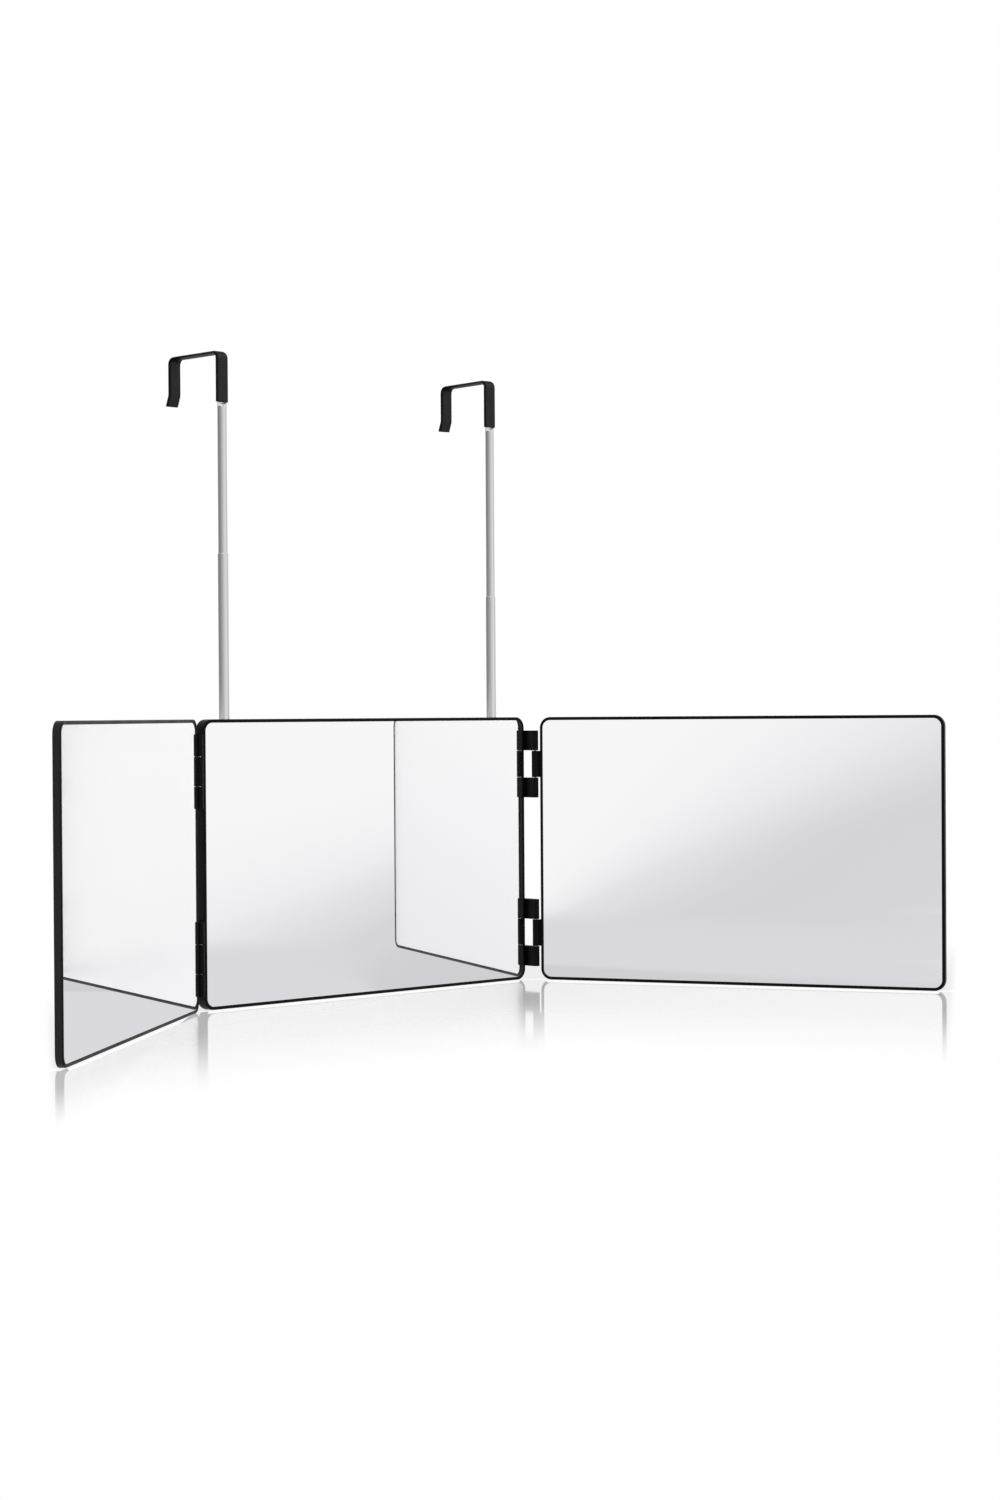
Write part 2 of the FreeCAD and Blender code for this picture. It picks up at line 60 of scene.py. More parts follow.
POLE_X, POLE_Y, BASE_R = 127 * MM, 6.5 * MM, 4 * MM
GROOVE_FOOT = 6 * MM
PIN_OUT = 3.6 * MM
OUTWARD = {"left": -1, "right": 1}
PIN_Y = {"left": -2.9 * MM, "right": -10.1 * MM}
REST_TURN = {"left": math.radians(37.13), "right": math.radians(-65.62)}
# points closer than SAME are one, a face whose normal passes FACING along an axis looks that way, one
# whose normal stays under WALL_LEAN along Y is a wall, and a cut runs by CUT_RUN past what it cuts
SAME, FACING, WALL_LEAN, CUT_RUN = 1e-6, 0.9, 0.3, 1 * MM
# the stretch of the noise over which a colour or a roughness runs from low to high
COLOR_SPAN, ROUGHNESS_SPAN = (0.35, 0.65), (0.3, 0.7)


def alone(piece):
    """Makes the piece the only one selected."""
    bpy.ops.object.select_all(action="DESELECT")
    piece.select_set(True)
    bpy.context.view_layer.objects.active = piece


def settle(piece, name):
    """Names the piece and puts its place, turn and size into its mesh."""
    alone(piece)
    piece.name = name
    bpy.ops.object.transform_apply(location=True, rotation=True, scale=True)
    return piece


def block(name, low, high):
    """A box between two corners."""
    bpy.ops.object.select_all(action="DESELECT")
    low, high = Vector(low), Vector(high)
    bpy.ops.mesh.primitive_cube_add(size=1, location=(low + high) / 2, scale=high - low)
    return settle(bpy.context.object, name)


def pick(piece, kind, test):
    """In edit mode, selects the piece's faces, edges or points that pass the test, and no others."""
    bpy.ops.mesh.select_mode(type=kind)
    bpy.ops.mesh.select_all(action="DESELECT")
    mesh = bmesh.from_edit_mesh(piece.data)
    mesh.normal_update()
    for part in {"VERT": mesh.verts, "EDGE": mesh.edges, "FACE": mesh.faces}[kind]:
        if test(part):
            part.select_set(True)
    mesh.select_flush_mode()
    bmesh.update_edit_mesh(piece.data)


def edit(piece):
    """Opens the piece in edit mode, on its own."""
    alone(piece)
    bpy.ops.object.mode_set(mode="EDIT")


def done():
    """Leaves edit mode."""
    bpy.ops.object.mode_set(mode="OBJECT")


def push(x, y, z):
    """Draws what is selected out by that much."""
    bpy.ops.mesh.extrude_region_move(TRANSFORM_OT_translate={"value": (x, y, z)})


def middle_of(part):
    """The middle of an edge or face."""
    return sum((v.co for v in part.verts), Vector()) / len(part.verts)


def rim_edges(y, outward=True):
    """A test for the edges where a plate's flat at y meets the walls that look outward, or inward."""
    centre = Vector((0, 0, PANEL_H / 2))

    def test(edge):
        if max(abs(v.co.y - y) for v in edge.verts) > SAME:
            return False
        walls = [f.normal for f in edge.link_faces if abs(f.normal.y) < WALL_LEAN]
        return len(walls) == 1 and (walls[0].dot(middle_of(edge) - centre) > 0) == outward

    return test


def rounded_plate(name, half_w, z0, z1, y0, y1, corner_r):
    """An upright plate with rounded corners, its flats looking along Y."""
    plate = block(name, (-half_w, y0, z0), (half_w, y1, z1))
    edit(plate)
    pick(plate, "EDGE", lambda e: abs(e.verts[0].co.y - e.verts[1].co.y) > (y1 - y0) / 2)
    bpy.ops.mesh.bevel(offset=corner_r, segments=12)
    done()
    return plate


def combine(piece, how, others):
    """Adds the other shapes to the piece, or takes them out of it, and removes them."""
    for other in others:
        alone(piece)
        step = piece.modifiers.new("step", "BOOLEAN")
        step.operation = how
        step.solver = "EXACT"
        step.object = other
        bpy.ops.object.modifier_apply(modifier=step.name)
        bpy.data.objects.remove(other)


def soften(piece, width, segments=3, sharp_angle=50):
    """Rounds the piece's sharp edges by that width."""
    alone(piece)
    step = piece.modifiers.new("soft edges", "BEVEL")
    step.width = width
    step.segments = segments
    step.limit_method = "ANGLE"
    step.angle_limit = math.radians(sharp_angle)
    bpy.ops.object.modifier_apply(modifier=step.name)
    edit(piece)
    bpy.ops.mesh.select_all(action="SELECT")
    bpy.ops.mesh.dissolve_degenerate(threshold=SAME)
    done()


def placed(piece, name, place):
    """A copy of the finished piece with its own mesh, put where that matrix says."""
    twin = piece.copy()
    twin.data = piece.data.copy()
    bpy.context.scene.collection.objects.link(twin)
    twin.matrix_world = place
    settle(twin, name)
    if place.is_negative:
        edit(twin)
        bpy.ops.mesh.select_all(action="SELECT")
        bpy.ops.mesh.normals_make_consistent(inside=False)
        done()
    return twin


def finish(piece, finishes, body, replaced, smooth_angle=35):
    """Smooths the piece's rounds, keeps its flats flat, dresses it by face, and fixes it to its body."""
    alone(piece)
    bpy.ops.object.shade_smooth_by_angle(angle=math.radians(smooth_angle))
    step = piece.modifiers.new("flat flats", "WEIGHTED_NORMAL")
    step.keep_sharp = True
    bpy.ops.object.modifier_apply(modifier=step.name)
    for finish_used in finishes:
        piece.data.materials.append(finish_used)
    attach(piece, body)
    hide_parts(replaced)


def on_side_mirror(side):
    """The move from where a side mirror's piece is modelled, in the centre's place, to its rest place."""
    out = OUTWARD[side] * (PANEL_W / 2 + PIN_OUT)
    to_pin = Matrix.Translation((out, -PIN_Y["left"], 0))
    turn = Matrix.Rotation(REST_TURN[side], 4, "Z")
    return Matrix.Translation((out, PIN_Y[side], 0)) @ turn @ to_pin


def new_finish(name, color, roughness, specular=0.5):
    """A material with its shader, whose numbers that don't vary are set on the shader."""
    made = bpy.data.materials.new(name)
    made.use_nodes = True
    shader = made.node_tree.nodes["Principled BSDF"]
    shader.inputs["Base Color"].default_value = (*color, 1)
    shader.inputs["Roughness"].default_value = roughness
    shader.inputs["Specular IOR Level"].default_value = specular
    return made, shader


def grain(made, scale, detail=3.0, stretch=(1, 1, 1)):
    """Noise on the piece's own coordinates, stretched along one axis for a drawn or rolled surface."""
    tree = made.node_tree
    place = tree.nodes.new("ShaderNodeTexCoord")
    mapping = tree.nodes.new("ShaderNodeMapping")
    mapping.inputs["Scale"].default_value = stretch
    noise = tree.nodes.new("ShaderNodeTexNoise")
    noise.inputs["Scale"].default_value = scale
    noise.inputs["Detail"].default_value = detail
    tree.links.new(place.outputs["Object"], mapping.inputs["Vector"])
    tree.links.new(mapping.outputs["Vector"], noise.inputs["Vector"])
    return noise.outputs["Fac"]


def vary_color(made, source, low, high):
    """The base colour runs from low to high with the source."""
    tree = made.node_tree
    ramp = tree.nodes.new("ShaderNodeValToRGB")
    for stop, position, color in zip(ramp.color_ramp.elements, COLOR_SPAN, (low, high)):
        stop.position = position
        stop.color = (*color, 1)
    tree.links.new(source, ramp.inputs["Fac"])
    tree.links.new(ramp.outputs["Color"], tree.nodes["Principled BSDF"].inputs["Base Color"])


def vary_roughness(made, source, low, high):
    """The roughness runs from low to high with the source."""
    tree = made.node_tree
    spread = tree.nodes.new("ShaderNodeMapRange")
    for name, value in zip(("From Min", "From Max", "To Min", "To Max"), (*ROUGHNESS_SPAN, low, high)):
        spread.inputs[name].default_value = value
    tree.links.new(source, spread.inputs["Value"])
    tree.links.new(spread.outputs["Result"], tree.nodes["Principled BSDF"].inputs["Roughness"])


def emboss(made, source, depth, strength):
    """A bump of that depth in metres on the shader's normal."""
    tree = made.node_tree
    bump = tree.nodes.new("ShaderNodeBump")
    bump.inputs["Distance"].default_value = depth
    bump.inputs["Strength"].default_value = strength
    tree.links.new(source, bump.inputs["Height"])
    tree.links.new(bump.outputs["Normal"], tree.nodes["Principled BSDF"].inputs["Normal"])


def tray(name, back_y):
    """A rounded plate with the glass's pocket in its front."""
    piece = rounded_plate(name, PANEL_W / 2, 0, PANEL_H, FRONT_Y, back_y, CORNER_R)
    edit(piece)
    pick(piece, "FACE", lambda f: f.normal.y < -FACING)
    bpy.ops.mesh.inset(thickness=RIM_W)
    push(0, FLOOR_Y - FRONT_Y, 0)
    pick(piece, "EDGE", rim_edges(FRONT_Y))
    bpy.ops.mesh.bevel(offset=FRONT_ROUND, segments=5)
    pick(piece, "EDGE", rim_edges(FRONT_Y, outward=False))
    bpy.ops.mesh.bevel(offset=MOUTH_ROUND, segments=3)
    pick(piece, "EDGE", rim_edges(back_y))
    bpy.ops.mesh.bevel(offset=BACK_ROUND, segments=4)
    done()
    return piece


frame_black, _ = new_finish("frame_black", (0.004, 0.004, 0.0043), 0.38, specular=0.11)
vary_color(frame_black, grain(frame_black, 60), (0.002, 0.002, 0.0022), (0.004, 0.004, 0.0044))
vary_roughness(frame_black, grain(frame_black, 45), 0.36, 0.45)
emboss(frame_black, grain(frame_black, 700), 0.00002, 0.05)
# a lighter, glossier copy of the frame's black, with a coarser grain: painted light on the side trays'
# outer walls
lit_wall_black, _ = new_finish("lit_wall_black", (0.007, 0.007, 0.0073), 0.45, specular=0.34)
vary_color(lit_wall_black, grain(lit_wall_black, 90), (0.006, 0.006, 0.0063), (0.009, 0.009, 0.0094))
vary_roughness(lit_wall_black, grain(lit_wall_black, 60), 0.42, 0.52)
emboss(lit_wall_black, grain(lit_wall_black, 900), 0.00002, 0.08)

centre_tray = tray("centre_tray", RAIL_Y)
hollow_half_w, hollow_top, beyond = PANEL_W / 2 - RAIL_W, PANEL_H - SILL_H, RAIL_Y + CUT_RUN
hollow = rounded_plate("hollow", hollow_half_w, SILL_H, hollow_top, BACK_Y, beyond, HOLLOW_CORNER_R)
grooves = [
    block("groove", (x - BASE_R, BACK_Y, GROOVE_FOOT), (x + BASE_R, beyond, PANEL_H + CUT_RUN))
    for x in (-POLE_X, POLE_X)
]
combine(centre_tray, "DIFFERENCE", [hollow, *grooves])
soften(centre_tray, CENTRE_SOFT)
finish(centre_tray, [frame_black], "centre_mirror", "centre_rear_shell")

side_tray = tray("side_tray", BACK_Y)
field_half_w, field_top = PANEL_W / 2 - FIELD_IN, PANEL_H - FIELD_IN
field_y, beyond = BACK_Y - FIELD_DEPTH, BACK_Y + CUT_RUN
field = rounded_plate("field", field_half_w, FIELD_IN, field_top, field_y, beyond, HOLLOW_CORNER_R)
combine(side_tray, "DIFFERENCE", [field])
soften(side_tray, SIDE_SOFT)
# the outer walls get the lighter black, which paints light on them
for face in side_tray.data.polygons:
    outward_looking = face.normal.dot(face.center - Vector((0, 0, PANEL_H / 2))) > 0
    face.material_index = 1 if abs(face.normal.y) < WALL_LEAN and outward_looking else 0
for side in OUTWARD:
    piece = placed(side_tray, side + "_tray", on_side_mirror(side))
    finish(piece, [frame_black, lit_wall_black], side + "_mirror", side + "_rear_shell")
bpy.data.objects.remove(side_tray)

# ---------------------------------------------------------------- foam tape
# A sheet of double-sided white foam tape holds each glass in its tray. It is die-cut and hidden by
# the glass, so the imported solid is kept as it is.


def dress(name, made):
    """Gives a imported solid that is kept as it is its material."""
    solid = packed[name]
    solid.data.materials.clear()
    solid.data.materials.append(made)


foam_white, _ = new_finish("foam_white", (0.8, 0.8, 0.77), 0.9)
vary_color(foam_white, grain(foam_white, 900), (0.72, 0.72, 0.69), (0.85, 0.85, 0.82))
emboss(foam_white, grain(foam_white, 1500), 0.0001, 0.5)
for panel in ("centre", "left", "right"):
    dress(panel + "_foam_tape", foam_white)

# ---------------------------------------------------------------- mirror glass
# Each mirror is a 2 mm float glass plate, silvered, with its corners rounded and its sharp edges
# ground to a narrow arris. It stands 0.3 mm back from the rim's front. Seen in another mirror its
# face is shown a little hazy, and the right one's as if it leaned a few degrees outwards.
GLASS_FRONT_Y, GLASS_BACK_Y = -2.2 * MM, -0.2 * MM
GLASS_PLAY = 0.1 * MM
GLASS_IN = RIM_W + GLASS_PLAY
ARRIS = 0.2 * MM
HAZE = 0.35
RIGHT_LEAN = math.radians(7.4)

ground_edge, _ = new_finish("ground_glass_edge", (0.10, 0.13, 0.12), 0.5)
vary_color(ground_edge, grain(ground_edge, 700), (0.07, 0.095, 0.085), (0.14, 0.17, 0.155))
vary_roughness(ground_edge, grain(ground_edge, 1400), 0.4, 0.65)

glass_plate = rounded_plate(
    "glass_plate",
    PANEL_W / 2 - GLASS_IN,
    GLASS_IN,
    PANEL_H - GLASS_IN,
    GLASS_FRONT_Y,
    GLASS_BACK_Y,
    CORNER_R - GLASS_IN,
)
edit(glass_plate)
for y in (GLASS_FRONT_Y, GLASS_BACK_Y):
    pick(glass_plate, "EDGE", rim_edges(y))
    bpy.ops.mesh.bevel(offset=ARRIS, segments=1)
done()
for face in glass_plate.data.polygons:
    face.material_index = 0 if abs(face.normal.y) > FACING else 1


def silvering(panel):
    """The silvered face, hazy to rays that come from another mirror; the right one's normal leans out."""
    made, shader = new_finish(panel + "_silvering", (0.975, 0.975, 0.978), 0.0)
    shader.inputs["Metallic"].default_value = 1.0
    tree = made.node_tree
    rays = tree.nodes.new("ShaderNodeLightPath")
    haze = tree.nodes.new("ShaderNodeMath")
    haze.operation = "MULTIPLY"
    haze.inputs[1].default_value = HAZE
    tree.links.new(rays.outputs["Is Glossy Ray"], haze.inputs[0])
    tree.links.new(haze.outputs["Value"], shader.inputs["Roughness"])
    if panel == "right":
        outward = Matrix.Rotation(REST_TURN["right"], 3, "Z") @ Vector((1, 0, 0))
        place = tree.nodes.new("ShaderNodeTexCoord")
        slope = tree.nodes.new("ShaderNodeVectorMath")
        slope.operation = "DOT_PRODUCT"
        slope.inputs[1].default_value = outward * -math.tan(RIGHT_LEAN)
        tree.links.new(place.outputs["Object"], slope.inputs[0])
        lean = tree.nodes.new("ShaderNodeBump")
        lean.inputs["Distance"].default_value = 1.0
        tree.links.new(slope.outputs["Value"], lean.inputs["Height"])
        tree.links.new(lean.outputs["Normal"], shader.inputs["Normal"])
    return made


for panel in ("centre", "left", "right"):
    place = Matrix.Identity(4) if panel == "centre" else on_side_mirror(panel)
    piece = placed(glass_plate, panel + "_glass", place)
    finishes = [silvering(panel), ground_edge]
    body = panel + "_mirror"
    finish(piece, finishes, body, panel + "_mirror_glass", smooth_angle=10)
bpy.data.objects.remove(glass_plate)

# ---------------------------------------------------------------- hinge brackets
# The centre mirror's half of each hinge is one black moulding: a plate screwed on the back, with two
# arms that come round the mirror's edge and grip the pin. The right pair reaches further forward, so
# that the right mirror can fold over the left one.
HINGE_H, ARM_H = 50 * MM, 14.8 * MM
HINGE_FOOT = {"lower": 10 * MM, "upper": 136 * MM}
BARREL_R, PIN_R, HOLE_SIDES = 2.5 * MM, 1.0 * MM, 32
# a hair under the barrel's radius, so that the rounds on two corners don't meet in one edge
NOSE_R = 0.9995 * BARREL_R
ROOT_T = PIN_OUT - BARREL_R
ROOT_FRONT_Y = FRONT_Y + FRONT_ROUND
LEAF_W, LEAF_T, LEAF_CORNER_R = 10 * MM, 1.2 * MM, 2 * MM
LEAF_SCREW_IN, LEAF_SCREW_SPREAD = 5 * MM, 30 * MM
HEAD_R, SHANK_R, HEAD_PLAY, SINK_RUN = 2.3 * MM, 1.0 * MM, 0.12 * MM, 0.3 * MM
HINGE_SOFT = 0.3 * MM


def countersink(x, z, back_y):
    """The cone for a screw's head in a plate whose back is at back_y, with a little room round it."""
    slope = (HEAD_R - SHANK_R) / LEAF_T
    deep, proud = LEAF_T + SINK_RUN, SINK_RUN
    bpy.ops.object.select_all(action="DESELECT")
    bpy.ops.mesh.primitive_cone_add(
        vertices=HOLE_SIDES,
        radius1=HEAD_R + HEAD_PLAY + slope * proud,
        radius2=HEAD_R + HEAD_PLAY - slope * deep,
        depth=deep + proud,
        location=(x, back_y + (proud - deep) / 2, z),
        rotation=(math.radians(90), 0, 0),
    )
    return settle(bpy.context.object, "countersink")


def leaf_countersinks(back_y):
    """The countersinks of one leaf plate."""
    heights = [HINGE_H / 2 + s * LEAF_SCREW_SPREAD / 2 for s in (-1, 1)]
    return [countersink(-LEAF_SCREW_IN, z, back_y) for z in heights]


def leaf_plate(name, low_y, cuts):
    """The screwed plate beside an edge at x = 0, divided across at those heights."""

    def at_far_corner(edge):
        through = abs(edge.verts[0].co.y - edge.verts[1].co.y) > SAME
        return through and middle_of(edge).x < -LEAF_W + SAME

    piece = block(name, (-LEAF_W, low_y, 0), (0, low_y + LEAF_T, HINGE_H))
    edit(piece)
    pick(piece, "EDGE", at_far_corner)
    bpy.ops.mesh.bevel(offset=LEAF_CORNER_R, segments=6)
    for z in cuts:
        bpy.ops.mesh.select_all(action="SELECT")
        bpy.ops.mesh.bisect(plane_co=(0, 0, z), plane_no=(0, 0, 1))
    done()
    return piece


def upright_edges(*corners):
    """A test for the upright edges that stand at those (x, y) corners."""

    def test(edge):
        if abs(edge.verts[0].co.z - edge.verts[1].co.z) < SAME:
            return False
        middle = middle_of(edge)
        return any(math.hypot(middle.x - x, middle.y - y) < SAME for x, y in corners)

    return test


def bracket(pin_y):
    """A bracket beside an edge at x = 0: plate, two roots round the edge, two round-nosed arms."""
    low_y = RAIL_Y
    nose_y, far_x = pin_y - BARREL_R, PIN_OUT + BARREL_R
    piece = leaf_plate("bracket", low_y, (ARM_H, HINGE_H - ARM_H))

    def in_arms(part):
        return abs(middle_of(part).z - HINGE_H / 2) > HINGE_H / 2 - ARM_H

    edit(piece)
    pick(piece, "FACE", lambda f: f.normal.x > FACING and in_arms(f))
    push(ROOT_T, 0, 0)
    push(far_x - ROOT_T, 0, 0)
    pick(piece, "FACE", lambda f: f.normal.y < -FACING and middle_of(f).x > 0)
    push(0, ROOT_FRONT_Y - low_y, 0)
    pick(piece, "FACE", lambda f: f.normal.y < -FACING and middle_of(f).x > ROOT_T)
    push(0, nose_y - ROOT_FRONT_Y, 0)
    pick(piece, "EDGE", upright_edges((ROOT_T, nose_y), (far_x, nose_y)))
    bpy.ops.mesh.bevel(offset=NOSE_R, segments=10)
    done()
    combine(piece, "DIFFERENCE", leaf_countersinks(low_y + LEAF_T))
    soften(piece, HINGE_SOFT)
    return piece


def beside_edge(outward, foot):
    """The move from beside an edge at x = 0 to a hinge's place on the mirror edge that faces outward."""
    flip = Matrix.Diagonal((outward, 1, 1, 1))
    return Matrix.Translation((outward * PANEL_W / 2, 0, foot)) @ flip


hinge_black, _ = new_finish("hinge_black", (0.003, 0.003, 0.0033), 0.45, specular=0.10)
vary_color(hinge_black, grain(hinge_black, 150), (0.0015, 0.0015, 0.0018), (0.003, 0.003, 0.0033))
vary_roughness(hinge_black, grain(hinge_black, 120), 0.40, 0.52)
emboss(hinge_black, grain(hinge_black, 900), 0.00003, 0.06)

for side, outward in OUTWARD.items():
    one_bracket = bracket(PIN_Y[side])
    for level, foot in HINGE_FOOT.items():
        piece = placed(one_bracket, f"{side}_{level}_bracket", beside_edge(outward, foot))
        finish(piece, [hinge_black], "centre_mirror", f"{side}_bracket_{level}")
    bpy.data.objects.remove(one_bracket)

# ---------------------------------------------------------------- hinge leaves
# A side mirror's half of each hinge is a black moulding too: a plate screwed on the back, and a web
# round the edge with one knuckle, which turns on the pin between the bracket's arms.
KNUCKLE_GAP, PIN_PLAY = 0.4 * MM, 0.05 * MM
knuckle_low, knuckle_high = ARM_H + KNUCKLE_GAP, HINGE_H - ARM_H - KNUCKLE_GAP
side_pin_y, knuckle_far_x = PIN_Y["left"], PIN_OUT + BARREL_R
knuckle_back_y, knuckle_nose_y = side_pin_y + BARREL_R, side_pin_y - BARREL_R
leaf = leaf_plate("leaf", BACK_Y, (knuckle_low, knuckle_high))


def in_knuckle(part):
    """Whether a face is between the knuckle's ends."""
    return knuckle_low < middle_of(part).z < knuckle_high


edit(leaf)
pick(leaf, "FACE", lambda f: f.normal.x > FACING and in_knuckle(f))
push(ROOT_T, 0, 0)
pick(leaf, "FACE", lambda f: f.normal.y < -FACING and middle_of(f).x > 0)
push(0, knuckle_back_y - BACK_Y, 0)
push(0, side_pin_y - knuckle_back_y, 0)
pick(leaf, "FACE", lambda f: f.normal.x > FACING and side_pin_y < middle_of(f).y < knuckle_back_y)
push(knuckle_far_x - ROOT_T, 0, 0)
pick(leaf, "FACE", lambda f: f.normal.y < -FACING and middle_of(f).x > ROOT_T)
push(0, knuckle_nose_y - side_pin_y, 0)
rounded = ((ROOT_T, knuckle_nose_y), (knuckle_far_x, knuckle_nose_y), (knuckle_far_x, knuckle_back_y))
pick(leaf, "EDGE", upright_edges(*rounded))
bpy.ops.mesh.bevel(offset=NOSE_R, segments=10)
done()
bpy.ops.object.select_all(action="DESELECT")
bpy.ops.mesh.primitive_cylinder_add(
    vertices=HOLE_SIDES,
    radius=PIN_R + PIN_PLAY,
    depth=HINGE_H,
    location=(PIN_OUT, side_pin_y, HINGE_H / 2),
)
pin_hole = settle(bpy.context.object, "pin_hole")
combine(leaf, "DIFFERENCE", [pin_hole, *leaf_countersinks(BACK_Y + LEAF_T)])
soften(leaf, HINGE_SOFT)
for side, outward in OUTWARD.items():
    for level, foot in HINGE_FOOT.items():
        place = on_side_mirror(side) @ beside_edge(-outward, foot)
        piece = placed(leaf, f"{side}_{level}_leaf", place)
        finish(piece, [hinge_black], side + "_mirror", f"{side}_hinge_leaf_{level}")
bpy.data.objects.remove(leaf)

# ---------------------------------------------------------------- hinge pins and screws
# The pins are drawn steel rods pressed into the arms, and the screws are countersunk, cross-recessed
# and blackened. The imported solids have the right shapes, and only get their metals.
drawn_steel, pin_shader = new_finish("drawn_steel", (0.55, 0.55, 0.56), 0.3)
pin_shader.inputs["Metallic"].default_value = 1.0
vary_roughness(drawn_steel, grain(drawn_steel, 300, stretch=(1, 1, 0.05)), 0.22, 0.38)
screw_black, screw_shader = new_finish("screw_black", (0.03, 0.03, 0.032), 0.45)
screw_shader.inputs["Metallic"].default_value = 0.6
vary_color(screw_black, grain(screw_black, 800), (0.022, 0.022, 0.024), (0.045, 0.045, 0.048))
vary_roughness(screw_black, grain(screw_black, 600), 0.38, 0.55)
for name in ("left_hinge_pins", "right_hinge_pins"):
    dress(name, drawn_steel)
for name in ("centre_screws", "left_leaf_screws", "right_leaf_screws"):
    dress(name, screw_black)

# ---------------------------------------------------------------- pole housings
# A black half-round channel holds each pole's base tube against the rail. It is moulded with a
# flange along each side, and two screws go through each flange.
HOUSING_FOOT, HOUSING_TOP = 6 * MM, 192 * MM
HOOD_WALL, HOUSING_SOFT = 2.5 * MM, 0.35 * MM
HOOD_R = BASE_R + HOOD_WALL
FLANGE_W, FLANGE_T, FLANGE_CORNER_R = 25 * MM, 1.6 * MM, 3 * MM
FLANGE_SCREW_X, FLANGE_SCREW_IN = 9.2 * MM, 24 * MM
POLE_SIDES = 64


def upright_rod(name, radius, z0, z1):
    """An upright round bar on the pole's own axis."""
    bpy.ops.object.select_all(action="DESELECT")
    middle = (0, POLE_Y, (z0 + z1) / 2)
    bpy.ops.mesh.primitive_cylinder_add(
        vertices=POLE_SIDES, radius=radius, depth=z1 - z0, location=middle
    )
    return settle(bpy.context.object, name)


hood = upright_rod("hood", HOOD_R, HOUSING_FOOT, HOUSING_TOP)
wide = 2 * HOOD_R
in_rail = block("in_rail", (-wide, -wide, 0), (wide, RAIL_Y, PANEL_H))
combine(hood, "DIFFERENCE", [in_rail])
half_w, flange_y = FLANGE_W / 2, RAIL_Y + FLANGE_T
flange = rounded_plate(
    "flange", half_w, HOUSING_FOOT, HOUSING_TOP, RAIL_Y, flange_y, FLANGE_CORNER_R
)
combine(hood, "UNION", [flange])
bore = upright_rod("bore", BASE_R, 0, PANEL_H)
mouth = block("mouth", (-BASE_R, 0, 0), (BASE_R, POLE_Y, PANEL_H))
screw_heights = (HOUSING_FOOT + FLANGE_SCREW_IN, HOUSING_TOP - FLANGE_SCREW_IN)
sinks = [countersink(s * FLANGE_SCREW_X, z, flange_y) for s in (-1, 1) for z in screw_heights]
combine(hood, "DIFFERENCE", [bore, mouth, *sinks])
soften(hood, HOUSING_SOFT)
for side, outward in OUTWARD.items():
    piece = placed(hood, side + "_housing", Matrix.Translation((outward * POLE_X, 0, 0)))
    finish(piece, [frame_black], "centre_mirror", side + "_pole_housing")
bpy.data.objects.remove(hood)

# ---------------------------------------------------------------- base and middle tubes
# Each pole is three chrome-plated steel tubes, one in another. The open end of the two lower ones is
# rolled in to guide the next tube, which shows as a small bright ring at the step.
MIDDLE_R, UPPER_R = 3.6 * MM, 3.2 * MM
TUBE_WALL, LIP_PLAY, LIP_H = 0.3 * MM, 0.05 * MM, 1.0 * MM
ROLL_H, ROLL_STEPS = 1.1 * MM, 6
SAME_RING = 1e-7
BASE_FOOT, BASE_TOP = 8 * MM, 194 * MM
MIDDLE_L = 180.5 * MM
MIDDLE_TOP = {"left": 308.7 * MM, "right": 285.8 * MM}


def ring(name, radius, z):
    """A flat ring of edges on the pole's own axis, left selected in edit mode."""
    bpy.ops.object.select_all(action="DESELECT")
    bpy.ops.mesh.primitive_circle_add(vertices=POLE_SIDES, radius=radius, location=(0, 0, z))
    piece = settle(bpy.context.object, name)
    edit(piece)
    bpy.ops.mesh.select_all(action="SELECT")
    return piece


def draw_ring(points):
    """Draws the selected ring through (half width, half depth, z) points, from the first one."""
    for (w0, d0, z0), (w1, d1, z1) in zip(points, points[1:]):
        push(0, 0, z1 - z0)
        bpy.ops.transform.resize(value=(w1 / w0, d1 / d0, 1), center_override=(0, 0, z1))


def turn_outwards():
    """Merges doubles and turns every face outwards, then leaves edit mode."""
    bpy.ops.mesh.select_all(action="SELECT")
    bpy.ops.mesh.remove_doubles(threshold=SAME_RING)
    bpy.ops.mesh.normals_make_consistent(inside=False)
    done()


def rolled_tube(name, radius, length, next_radius):
    """A tube whose top is rolled in to guide a tube of the next radius, with its foot at z = 0.

    The roll takes it two thirds of the way in, and a flat lip closes the rest.
    """
    bore, lip = radius - TUBE_WALL, next_radius + LIP_PLAY
    mouth = (radius + 2 * lip) / 3
    turns = [math.radians(90 * k / ROLL_STEPS) for k in range(1, ROLL_STEPS + 1)]
    rolled = [
        (mouth + (radius - mouth) * math.cos(turn), length - ROLL_H + ROLL_H * math.sin(turn))
        for turn in turns
    ]
    outline = [(bore, length - LIP_H), (bore, 0), (radius, 0), (radius, length - ROLL_H)]
    outline += [*rolled, (lip, length), (lip, length - LIP_H)]
    piece = ring(name, outline[0][0], outline[0][1])
    draw_ring([(r, r, z) for r, z in outline + outline[:1]])
    turn_outwards()
    return piece


chrome, chrome_shader = new_finish("chrome", (0.72, 0.72, 0.725), 0.1)
chrome_shader.inputs["Metallic"].default_value = 1.0
vary_roughness(chrome, grain(chrome, 400, stretch=(1, 1, 0.04)), 0.05, 0.10)

